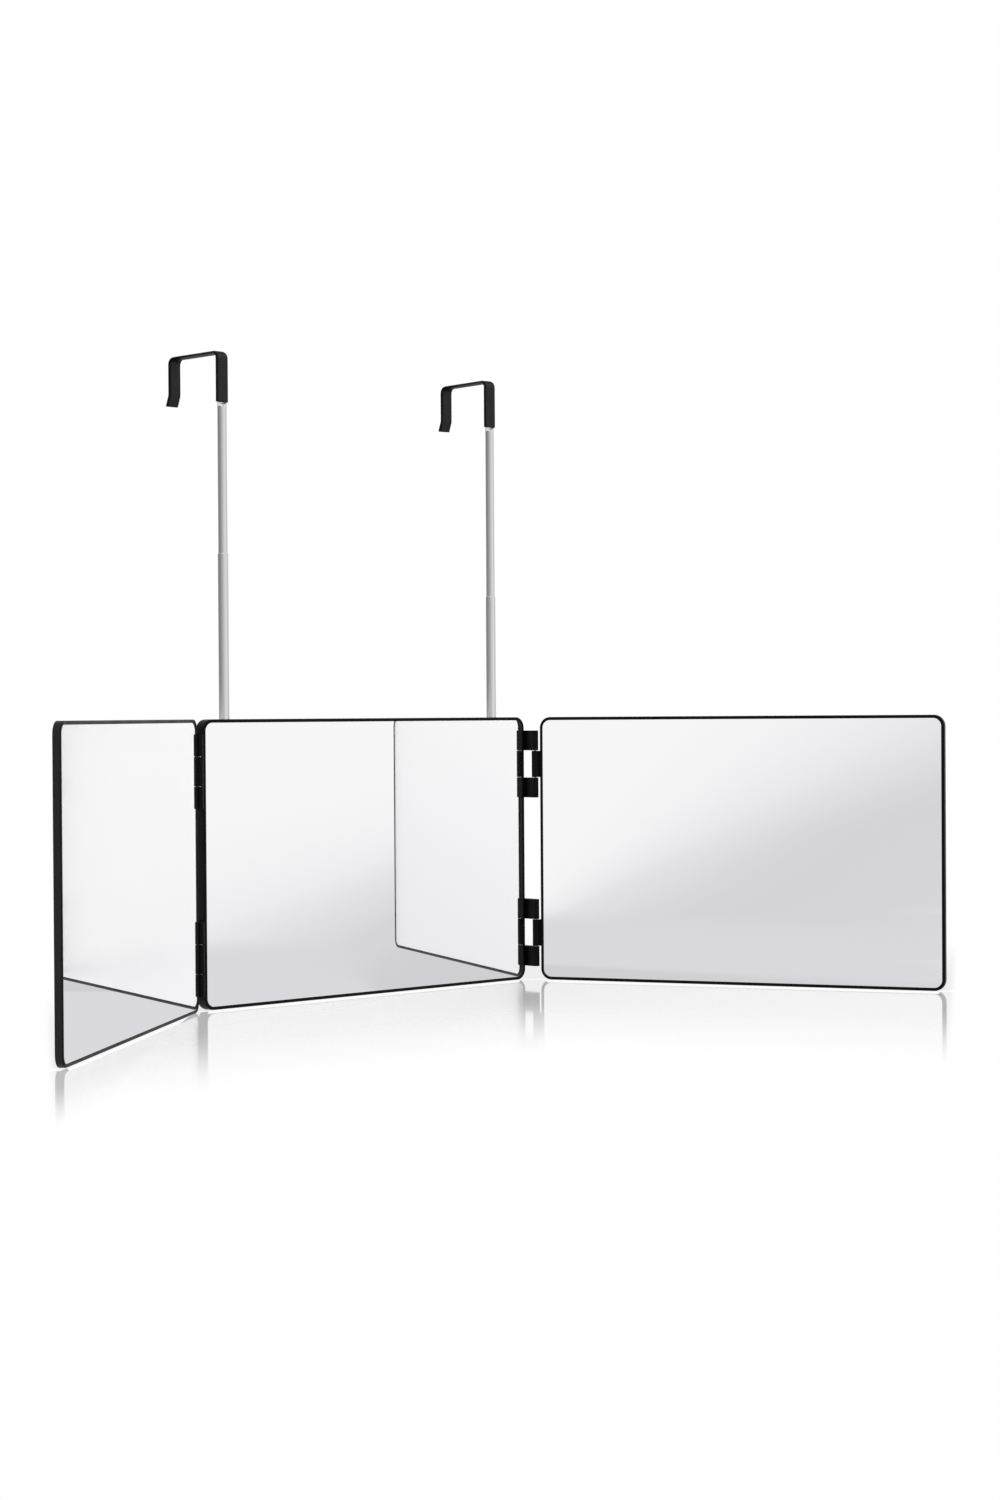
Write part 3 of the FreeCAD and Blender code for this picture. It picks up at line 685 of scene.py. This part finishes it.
base_tube = rolled_tube("base_tube", BASE_R, BASE_TOP - BASE_FOOT, MIDDLE_R)
middle_tube = rolled_tube("middle_tube", MIDDLE_R, MIDDLE_L, UPPER_R)
for side, outward in OUTWARD.items():
    place = Matrix.Translation((outward * POLE_X, POLE_Y, BASE_FOOT))
    piece = placed(base_tube, side + "_base", place)
    finish(piece, [chrome], "centre_mirror", side + "_base_tube")
    place = Matrix.Translation((outward * POLE_X, POLE_Y, MIDDLE_TOP[side] - MIDDLE_L))
    piece = placed(middle_tube, side + "_middle", place)
    finish(piece, [chrome], side + "_middle_section", side + "_middle_tube")
bpy.data.objects.remove(base_tube)
bpy.data.objects.remove(middle_tube)

# ---------------------------------------------------------------- plugs and bushes
# A black plug closes the foot of each base tube, and white acetal bushes guide the sliding tubes.
# They are turned or moulded and hidden in the tubes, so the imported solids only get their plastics.
bush_white, _ = new_finish("bush_white", (0.75, 0.74, 0.7), 0.5)
vary_color(bush_white, grain(bush_white, 150), (0.72, 0.71, 0.67), (0.78, 0.77, 0.73))
vary_roughness(bush_white, grain(bush_white, 200), 0.45, 0.6)
for side in OUTWARD:
    plastics = {"base_plug": frame_black, "middle_foot_bush": bush_white, "upper_foot_bush": bush_white}
    for name, plastic in plastics.items():
        dress(f"{side}_{name}", plastic)

# ---------------------------------------------------------------- upper tubes
# The thinnest tube's end is pressed flat between two dies and bent into the hook: up, over the top of
# the door, down behind it and a little outwards at the tip. Only the shoulder shows below the sleeve.
SHOULDER_Z, UPPER_L = 406.9 * MM, 175 * MM
SLEEVE_FOOT = 411.4 * MM
PRESS_FROM, PRESS_TO, PRESS_STEPS = 408.2 * MM, 411.6 * MM, 8
CORE_HALF_W, CORE_HALF_T, CORE_RISE = 4.7 * MM, 0.4 * MM, 1 * MM
PRESSED_HALF_T = 1.2 * CORE_HALF_T
HOOK_TOP, STRAP_T, DOOR_GAP = 446.2 * MM, 1.8 * MM, 50.2 * MM
BEND_R, FAR_LEG_L = 4.4 * MM, 26.2 * MM
FLARE, FLARE_R, FLARE_L = math.radians(22), 6 * MM, 8 * MM
SLEEVE_END, BEND_STEPS, FLARE_STEPS = 0.6 * MM, 9, 4
HOOK_TURN = {"left": 0.0, "right": math.radians(-5.35)}


def flatten(piece, half_depth, from_z, last_z):
    """Flattens the rings from that height up where they are thicker, and selects the last ring again."""
    for way in (-1, 1):
        pick(piece, "VERT", lambda v: v.co.z > from_z - SAME_RING and v.co.y * way > half_depth)
        bpy.ops.transform.resize(value=(1, 0, 1), center_override=(0, way * half_depth, last_z))
    pick(piece, "VERT", lambda v: abs(v.co.z - last_z) < SAME_RING)


def close_ends():
    """Fills the rings at both ends and turns every face outwards, then leaves edit mode."""
    bpy.ops.mesh.select_all(action="SELECT")
    bpy.ops.mesh.remove_doubles(threshold=SAME_RING)
    bpy.ops.mesh.fill_holes(sides=0)
    turn_outwards()


def follow_hook(foot_z, tip_cut):
    """Draws the selected ring along the hook, and stops short of its tip by the cut."""
    bend_z = HOOK_TOP - STRAP_T / 2 - BEND_R
    far_y = DOOR_GAP + STRAP_T
    leg_z = HOOK_TOP - FAR_LEG_L
    knee = FLARE_R * math.tan(FLARE / 2)
    near_centre, far_centre = (0, BEND_R, bend_z), (0, far_y - BEND_R, bend_z)
    knee_centre = (0, far_y + FLARE_R, leg_z + knee)
    push(0, 0, bend_z - foot_z)
    bpy.ops.mesh.spin(steps=BEND_STEPS, angle=math.pi / 2, center=near_centre, axis=(1, 0, 0))
    push(0, far_y - 2 * BEND_R, 0)
    bpy.ops.mesh.spin(steps=BEND_STEPS, angle=math.pi / 2, center=far_centre, axis=(1, 0, 0))
    push(0, 0, leg_z + knee - bend_z)
    bpy.ops.mesh.spin(steps=FLARE_STEPS, angle=FLARE, center=knee_centre, axis=(-1, 0, 0))
    run = FLARE_L - knee - tip_cut
    push(0, run * math.sin(FLARE), -run * math.cos(FLARE))


def on_pole(side):
    """The move from the pole's own axis to its place, with the turn of its hook."""
    turn = Matrix.Rotation(HOOK_TURN[side], 4, "Z")
    return Matrix.Translation((OUTWARD[side] * POLE_X, POLE_Y, 0)) @ turn


upper_bore, upper_foot = UPPER_R - TUBE_WALL, SHOULDER_Z - UPPER_L
pressed = [(UPPER_R, UPPER_R, PRESS_FROM)]
for step in range(1, PRESS_STEPS + 1):
    part = step / PRESS_STEPS
    ease = part * part * (3 - 2 * part)
    half_w = UPPER_R + (CORE_HALF_W - UPPER_R) * ease
    half_d = UPPER_R + (PRESSED_HALF_T - UPPER_R) * ease
    pressed.append((half_w, half_d, PRESS_FROM + (PRESS_TO - PRESS_FROM) * part))
upper = ring("upper", upper_bore, SHOULDER_Z - TUBE_WALL)
core_foot = PRESS_TO + CORE_RISE
draw_ring(
    [
        (upper_bore, upper_bore, SHOULDER_Z - TUBE_WALL),
        (upper_bore, upper_bore, upper_foot),
        (UPPER_R, UPPER_R, upper_foot),
        *pressed,
        (CORE_HALF_W, PRESSED_HALF_T, core_foot),
    ]
)
flatten(upper, CORE_HALF_T, core_foot, core_foot)
follow_hook(core_foot, SLEEVE_END)
close_ends()
for side in OUTWARD:
    piece = placed(upper, side + "_upper", on_pole(side))
    finish(piece, [chrome], side + "_hook", side + "_upper_tube")
bpy.data.objects.remove(upper)

# ---------------------------------------------------------------- hook sleeves
# Soft black vinyl is dipped over the flat hook, so that it doesn't scratch the door. The sleeve is flat
# with round edges, closed at the tip and open at its foot, where it ends square above the shoulder.
# Only the mouth at its foot is hollow in the mesh, which is filled from there on.
SLEEVE_HALF_W, SLEEVE_HALF_T = 5.2 * MM, 1.2 * MM
MOUTH_HALF_W, MOUTH_HALF_T, MOUTH_H = 4.75 * MM, 0.66 * MM, 1.5 * MM
SLEEVE_RISE, SLEEVE_SOFT = 0.6 * MM, 0.2 * MM
# where the painted shade on the sleeve starts: across its width, and by the slope of a face
PAINTED_EDGE_FROM, PAINTED_SLOPE = 3.5 * MM, 0.45

sleeve = ring("sleeve", MOUTH_HALF_W, SLEEVE_FOOT + MOUTH_H)
sleeve_start = SLEEVE_FOOT + SLEEVE_RISE
bpy.ops.transform.resize(value=(1, MOUTH_HALF_T / MOUTH_HALF_W, 1), center_override=(0, 0, 0))
draw_ring(
    [
        (MOUTH_HALF_W, MOUTH_HALF_T, SLEEVE_FOOT + MOUTH_H),
        (MOUTH_HALF_W, MOUTH_HALF_T, SLEEVE_FOOT),
        (SLEEVE_HALF_W, SLEEVE_HALF_T, SLEEVE_FOOT),
        (SLEEVE_HALF_W, SLEEVE_HALF_T, sleeve_start),
    ]
)
flatten(sleeve, STRAP_T / 2, SLEEVE_FOOT, sleeve_start)
follow_hook(sleeve_start, 0)
close_ends()
soften(sleeve, SLEEVE_SOFT)
# painted shade: the faces along the edges, over the bends and on the bar between them get a darker, less
# glossy copy of the vinyl
for face in sleeve.data.polygons:
    painted_dark = abs(face.center.x) > PAINTED_EDGE_FROM or abs(face.normal.z) > PAINTED_SLOPE
    face.material_index = 1 if painted_dark else 0

sleeve_vinyl, _ = new_finish("sleeve_vinyl", (0.010, 0.010, 0.011), 0.42, specular=0.30)
vary_color(sleeve_vinyl, grain(sleeve_vinyl, 180), (0.007, 0.007, 0.0078), (0.013, 0.013, 0.0142))
vary_roughness(sleeve_vinyl, grain(sleeve_vinyl, 250), 0.36, 0.50)
emboss(sleeve_vinyl, grain(sleeve_vinyl, 900), 0.00003, 0.08)
# a darker, less glossy copy of the sleeve's vinyl, painted shade on its edges and bends
painted_shade_vinyl, _ = new_finish("painted_shade_vinyl", (0.005, 0.005, 0.0055), 0.45, specular=0.12)
vary_color(painted_shade_vinyl, grain(painted_shade_vinyl, 180), (0.004, 0.004, 0.0044), (0.007, 0.007, 0.0077))
vary_roughness(painted_shade_vinyl, grain(painted_shade_vinyl, 250), 0.42, 0.52)
for side in OUTWARD:
    piece = placed(sleeve, side + "_sleeve", on_pole(side))
    finish(piece, [sleeve_vinyl, painted_shade_vinyl], side + "_hook", side + "_hook_cover")
bpy.data.objects.remove(sleeve)

# ---------------------------------------------------------------- table top
# A wide pale table top, polished enough to show a short reflection of what stands on it. To rays from
# the mirrors it is not lit but glows with painted shade: grey close by to white far off, with a greyer
# sector towards the front left, and nearly white where one mirror shows it in another.


def in_radians(*degrees):
    """Those angles in radians."""
    return tuple(math.radians(angle) for angle in degrees)


TABLE_SIZE = 400
VIEW_TURN, TONE_FALL, SECTOR_START = in_radians(-44.559, -40, -152)
DISTANCE_TONES = ((0.0, 0.645), (0.05, 0.68), (0.10, 0.717), (0.25, 0.863), (0.45, 0.926), (1.0, 0.955))
SECTOR_TONES = ((-158, 0.95), (-154.5, 0.88), (-152.5, 0.81), (-149.5, 0.71), (-146, 0.68), (-136, 0.727))
SECTOR_SPREAD, SPREAD_RADIUS = 0.1, 2.6
SECTOR_END = in_radians(-128, -112)
AHEAD_END, AHEAD_RADII = in_radians(-85, -65), (0.7, 1.1)
RIGHT_END, RIGHT_RADII = in_radians(-62, -45), (0.34, 0.56)
FOOT_TONE, FOOT_RADII = (0.715, 0.705, 0.73, 1), (0.36, 0.64)
SECOND_TONES = ((0.0, 0.86), (0.5, 0.88), (1.5, 0.92), (4.0, 0.96), (8.0, 1.0))
TWICE_TONE, THRICE_TONE = (1.135, 1.135, 1.14), (1.04, 1.04, 1.04, 1)
TINT, TINT_RISE = Vector((1.0, 0.986, 1.02)), 4
WHITE, PALE_GREY, BLACK = (1, 1, 1, 1), (0.35, 0.35, 0.35, 1), (0, 0, 0, 1)

bpy.ops.object.select_all(action="DESELECT")
bpy.ops.mesh.primitive_plane_add(size=TABLE_SIZE)
table = bpy.context.object
table.name = "table_top"
table_white = bpy.data.materials.new("table_white")
table_white.use_nodes = True
tree = table_white.node_tree
tree.nodes.clear()


def node(kind, **settings):
    """A node of the tree at hand with those settings."""
    made = tree.nodes.new(kind)
    for name, value in settings.items():
        setattr(made, name, value)
    return made


def math_node(operation, *sources, clamp=False):
    """A Math node fed by sockets or plain numbers, and its output."""
    made = node("ShaderNodeMath", operation=operation, use_clamp=clamp)
    for socket, source in zip(made.inputs, sources):
        if isinstance(source, (int, float)):
            socket.default_value = source
        else:
            tree.links.new(source, socket)
    return made.outputs["Value"]


def smooth_step(source, low, high, start=0.0, end=1.0, kind="SMOOTHSTEP"):
    """start where the source is at or under low, end at or over high, with a smooth run between."""
    made = node("ShaderNodeMapRange", interpolation_type=kind)
    limits = (("From Min", low), ("From Max", high), ("To Min", start), ("To Max", end))
    for name, value in limits:
        made.inputs[name].default_value = value
    tree.links.new(source, made.inputs["Value"])
    return made.outputs["Result"]


def fade(source, low, high):
    """1 where the source is at or under low, 0 at or over high, with a smooth run between."""
    return smooth_step(source, low, high, 1.0, 0.0)


def tone_mix(factor, first, second):
    """A colour that runs from the first to the second, each a colour or a socket."""
    made = node("ShaderNodeMix", data_type="RGBA")
    tree.links.new(factor, made.inputs["Factor"])
    for name, source in (("A", first), ("B", second)):
        socket = next(s for s in made.inputs if s.name == name and s.type == "RGBA")
        if isinstance(source, tuple):
            socket.default_value = source
        else:
            tree.links.new(source, socket)
    return next(s for s in made.outputs if s.type == "RGBA")


def tone_run(source, stops):
    """A grey that runs smoothly through (value, tone) stops, the darker the more violet."""
    low, high = stops[0][0], stops[-1][0]
    ramp = node("ShaderNodeValToRGB")
    ramp.color_ramp.interpolation = "CARDINAL"
    for number, (value, tone) in enumerate(stops):
        position = (value - low) / (high - low)
        if number < 2:
            stop = ramp.color_ramp.elements[number]
            stop.position = position
        else:
            stop = ramp.color_ramp.elements.new(position)
        tint = Vector((1, 1, 1)).lerp(TINT, min(1.0, (1 - tone) * TINT_RISE))
        stop.color = (*(tone * tint), 1)
    tree.links.new(smooth_step(source, low, high, kind="LINEAR"), ramp.inputs["Fac"])
    return ramp.outputs["Color"]


# painted shade that the mirrors show on the table: the tone by the distance towards the front left, and
# the sector's by the azimuth
place = node("ShaderNodeTexCoord").outputs["Object"]
rays = node("ShaderNodeLightPath")
split = node("ShaderNodeSeparateXYZ")
tree.links.new(place, split.inputs["Vector"])
sideways = math_node("MULTIPLY", split.outputs["X"], math.sin(TONE_FALL))
forward = math_node("MULTIPLY", split.outputs["Y"], -math.cos(TONE_FALL))
from_object = math_node("ADD", sideways, forward)
by_distance = tone_run(from_object, DISTANCE_TONES)
azimuth = math_node("ARCTAN2", split.outputs["Y"], split.outputs["X"])
length = node("ShaderNodeVectorMath", operation="LENGTH")
tree.links.new(place, length.inputs[0])
radius = length.outputs["Value"]
# close to the object the sector spreads out on its far side
past = math_node("SUBTRACT", azimuth, SECTOR_START)
spread = smooth_step(radius, 0.0, SPREAD_RADIUS, SECTOR_SPREAD, 1.0, kind="LINEAR")
spread = math_node("MULTIPLY", math_node("MAXIMUM", past, 0.0), spread)
past = math_node("ADD", spread, math_node("MINIMUM", past, 0.0))
in_sector = tone_run(past, [(math.radians(angle) - SECTOR_START, tone) for angle, tone in SECTOR_TONES])
# painted shade: a darker tone round the feet, as the mirrors show it
in_sector = tone_mix(fade(radius, *FOOT_RADII), in_sector, FOOT_TONE)
# it reaches further round the closer it is to the feet
in_reach = fade(azimuth, *SECTOR_END)
for end, radii in ((AHEAD_END, AHEAD_RADII), (RIGHT_END, RIGHT_RADII)):
    reach = math_node("MULTIPLY", fade(radius, *radii), fade(azimuth, *end))
    in_reach = math_node("MAXIMUM", in_reach, reach)
mirrored = tone_mix(in_reach, by_distance, in_sector)
# painted tones, nearly white, for what a second and a third mirror in the ray's way show
second = math_node("SUBTRACT", rays.outputs["Glossy Depth"], 1.0, clamp=True)
third = math_node("SUBTRACT", rays.outputs["Glossy Depth"], 2.0, clamp=True)
twice = node("ShaderNodeVectorMath", operation="MULTIPLY")
tree.links.new(tone_run(from_object, SECOND_TONES), twice.inputs[0])
twice.inputs[1].default_value = TWICE_TONE
twice = tone_mix(third, twice.outputs["Vector"], THRICE_TONE)
mirrored = tone_mix(second, mirrored, twice)

# The table is shaded and most polished close to the line of the three mirrors' feet at rest, and plain
# white beyond. The distance from that line is measured along the main view's direction, so it suits
# that view best. The field narrows towards the front, by the same amount at both ends.
FIELD_TAPER = 0.17
SHADE_TONE, SHADE_REACH, SHADE_ENDS = 0.76, (0.0, 0.5), (0.0, 0.007)
POLISH_REACH, POLISH_ENDS = (0.12, 0.48), (0.003, 0.009)
POLISH_ROUGHNESS, POLISH_IOR = 0.06, 1.45
POLISH_START = (0.019, 0.027)
SOONER_BY, SOONER_ENDS, SOONER_HINGES = 2.5, (-0.004, -0.002), (0.001, 0.003)
LATER_BY, LATER_BLEND = 0.5, 0.004

corners = []
unturn = Matrix.Rotation(-VIEW_TURN, 3, "Z")
for panel in ("left", "centre", "right"):
    low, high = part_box(panel + "_mirror_glass")
    fall = {"left": high.y - low.y, "centre": 0.0, "right": low.y - high.y}[panel]
    middle, half = (low + high) / 2, Vector((high.x - low.x, fall, 0)) / 2
    corners += [unturn @ (middle - half), unturn @ (middle + half)]
turned = node("ShaderNodeMapping", vector_type="TEXTURE")
turned.inputs["Rotation"].default_value = (0, 0, VIEW_TURN)
tree.links.new(place, turned.inputs["Vector"])
turned_split = node("ShaderNodeSeparateXYZ")
tree.links.new(turned.outputs["Vector"], turned_split.inputs["Vector"])
along, across = turned_split.outputs["X"], turned_split.outputs["Y"]
foot_row = corners[0].y
for start, end in zip(corners, corners[1:]):
    climb = smooth_step(along, start.x, end.x, 0.0, end.y - start.y, kind="LINEAR")
    foot_row = math_node("ADD", climb, foot_row)
from_row = math_node("ABSOLUTE", math_node("SUBTRACT", foot_row, across))
past_ends = []
for end, outward in ((corners[0], -1), (corners[-1], 1)):
    beside = math_node("MULTIPLY", math_node("SUBTRACT", along, end.x), outward)
    before = math_node("MULTIPLY", math_node("SUBTRACT", end.y, across), FIELD_TAPER)
    past_ends.append(math_node("ADD", beside, before))
past_ends = math_node("MAXIMUM", *past_ends)

shaded = math_node("MULTIPLY", fade(from_row, *SHADE_REACH), fade(past_ends, *SHADE_ENDS))
lift = math_node("SUBTRACT", 1.0, math_node("MULTIPLY", shaded, 1 - SHADE_TONE))
lift = math_node("MULTIPLY", rays.outputs["Is Camera Ray"], lift)
glow = node("ShaderNodeEmission")
tree.links.new(tone_mix(rays.outputs["Is Glossy Ray"], WHITE, mirrored), glow.inputs["Color"])
tree.links.new(math_node("MAXIMUM", lift, rays.outputs["Is Glossy Ray"]), glow.inputs["Strength"])
lit = node("ShaderNodeBsdfDiffuse")
lit.inputs["Color"].default_value = PALE_GREY
unlit = node("ShaderNodeBsdfDiffuse")
unlit.inputs["Color"].default_value = BLACK
matt = node("ShaderNodeMixShader")
far_off = math_node("SUBTRACT", 1.0, shaded)
tree.links.new(math_node("MAXIMUM", far_off, rays.outputs["Is Glossy Ray"]), matt.inputs["Fac"])
tree.links.new(lit.outputs["BSDF"], matt.inputs[1])
tree.links.new(unlit.outputs["BSDF"], matt.inputs[2])
surface = node("ShaderNodeAddShader")
tree.links.new(matt.outputs["Shader"], surface.inputs[0])
tree.links.new(glow.outputs["Emission"], surface.inputs[1])

# The polish doesn't start right at the feet. It starts sooner at the ends and hinges than along the
# mirrors, and later along the left mirror, which runs towards the front.
polished = math_node("MULTIPLY", fade(from_row, *POLISH_REACH), fade(past_ends, *POLISH_ENDS))
sooner = smooth_step(past_ends, *SOONER_ENDS)
near, far = SOONER_HINGES
for start, end in ((corners[1], corners[2]), (corners[3], corners[4])):
    after = smooth_step(along, start.x - far, start.x - near)
    before = fade(along, end.x + near, end.x + far)
    sooner = math_node("MAXIMUM", sooner, math_node("MULTIPLY", after, before))
later = smooth_step(along, corners[1].x - LATER_BLEND, corners[1].x, LATER_BY, 1.0)
pace = math_node("ADD", later, math_node("MULTIPLY", sooner, SOONER_BY))
started = smooth_step(math_node("MULTIPLY", from_row, pace), *POLISH_START)
polished = math_node("MULTIPLY", polished, started)
fresnel = node("ShaderNodeFresnel")
fresnel.inputs["IOR"].default_value = POLISH_IOR
shown = math_node("MULTIPLY", fresnel.outputs["Fac"], polished)
shown = math_node("MULTIPLY", shown, rays.outputs["Is Camera Ray"])
polish = node("ShaderNodeBsdfGlossy")
polish.inputs["Roughness"].default_value = POLISH_ROUGHNESS
gloss = node("ShaderNodeMixShader")
tree.links.new(shown, gloss.inputs["Fac"])
tree.links.new(surface.outputs["Shader"], gloss.inputs[1])
tree.links.new(polish.outputs["BSDF"], gloss.inputs[2])
tree.links.new(gloss.outputs["Shader"], node("ShaderNodeOutputMaterial").inputs["Surface"])
table.data.materials.append(table_white)

# ---------------------------------------------------------------- room
# White all round, with a grey flag behind and to the left that gives the chrome its dark side, a pale
# grey strip to the right that edges it, and a grey ceiling straight above. Two soft lamps hang in
# front, to the left and to the right.
FLAG_TONE, BRIGHT_TONE = (0.30, 0.30, 0.31, 1), (0.98, 0.98, 0.98, 1)
STRIP_TONE = (0.76, 0.76, 0.76, 1)
HIGH_TONE, CEILING_TONE = (0.74, 0.74, 0.74, 1), (0.5, 0.5, 0.5, 1)
SECOND_ROOM_TONE = (1.13, 1.13, 1.13, 1)
FLAG_START = math.radians(60)
FLAG_IN, FLAG_OUT = in_radians(5, 30), in_radians(85, 250)
STRIP_IN, STRIP_OUT = in_radians(236, 262), in_radians(290, 320)
HIGH_FROM, CEILING_FROM = (0.25, 0.6), (0.8, 0.95)
SOFT_LEVEL = 0.62
LAMP_AIM, LAMP_SIZE = Vector((0, 0, 0.15)), 1.8
LAMPS = (("key_light", (-1.6, -2.2, 2.6), 12), ("fill_light", (2.2, -1.2, 2.4), 7))

room = bpy.data.worlds.new("room")
bpy.context.scene.world = room
room.use_nodes = True
tree = room.node_tree
sky = tree.nodes["Background"]
rays = node("ShaderNodeLightPath")
split = node("ShaderNodeSeparateXYZ")
tree.links.new(node("ShaderNodeTexCoord").outputs["Generated"], split.inputs["Vector"])
# the turn is counted from the direction in which the white ends and the grey begins
azimuth = math_node("ARCTAN2", split.outputs["Y"], split.outputs["X"])
turn = math_node("MODULO", math_node("ADD", azimuth, math.tau - FLAG_START), math.tau)
around = tone_mix(smooth_step(turn, *FLAG_OUT), FLAG_TONE, BRIGHT_TONE)
strip = math_node("MULTIPLY", smooth_step(turn, *STRIP_IN), fade(turn, *STRIP_OUT))
around = tone_mix(strip, around, STRIP_TONE)
around = tone_mix(fade(turn, *FLAG_IN), around, BRIGHT_TONE)
around = tone_mix(smooth_step(split.outputs["Z"], *HIGH_FROM), around, HIGH_TONE)
around = tone_mix(smooth_step(split.outputs["Z"], *CEILING_FROM), around, CEILING_TONE)
second = math_node("SUBTRACT", rays.outputs["Glossy Depth"], 1.0, clamp=True)
around = tone_mix(second, around, SECOND_ROOM_TONE)
seen = tone_mix(rays.outputs["Is Glossy Ray"], WHITE, around)
tree.links.new(seen, sky.inputs["Color"])
level = math_node("MAXIMUM", rays.outputs["Is Camera Ray"], rays.outputs["Is Glossy Ray"])
tree.links.new(math_node("MAXIMUM", level, SOFT_LEVEL), sky.inputs["Strength"])

for name, hung_at, power in LAMPS:
    lamp = bpy.data.lights.new(name, "AREA")
    lamp.size = LAMP_SIZE
    lamp.energy = power
    holder = bpy.data.objects.new(name, lamp)
    holder.location = hung_at
    towards = LAMP_AIM - Vector(hung_at)
    holder.rotation_euler = towards.to_track_quat("-Z", "Y").to_euler()
    bpy.context.scene.collection.objects.link(holder)

# ---------------------------------------------------------------- camera
# It stands in front and to the left, level with the top of the centre mirror, and looks nearly level.
EYE = Vector((-1.32559, -1.47760, 0.197395))
VIEW_TILT, VIEW_ROLL = in_radians(90 - 0.709, -0.359)
FOCAL_LENGTH, SENSOR_WIDTH, CLIP_END = 67.018, 36, 300

lens = bpy.data.cameras.new("camera")
lens.lens = FOCAL_LENGTH
lens.sensor_width = SENSOR_WIDTH
lens.sensor_fit = "AUTO"
lens.clip_end = CLIP_END
camera = bpy.data.objects.new("camera", lens)
turn = Matrix.Rotation(VIEW_TURN, 4, "Z")
tilt = Matrix.Rotation(VIEW_TILT, 4, "X")
roll = Matrix.Rotation(VIEW_ROLL, 4, "Z")
camera.matrix_world = Matrix.Translation(EYE) @ turn @ tilt @ roll
bpy.context.scene.collection.objects.link(camera)
bpy.context.scene.camera = camera
bpy.context.scene.view_settings.view_transform = "Standard"
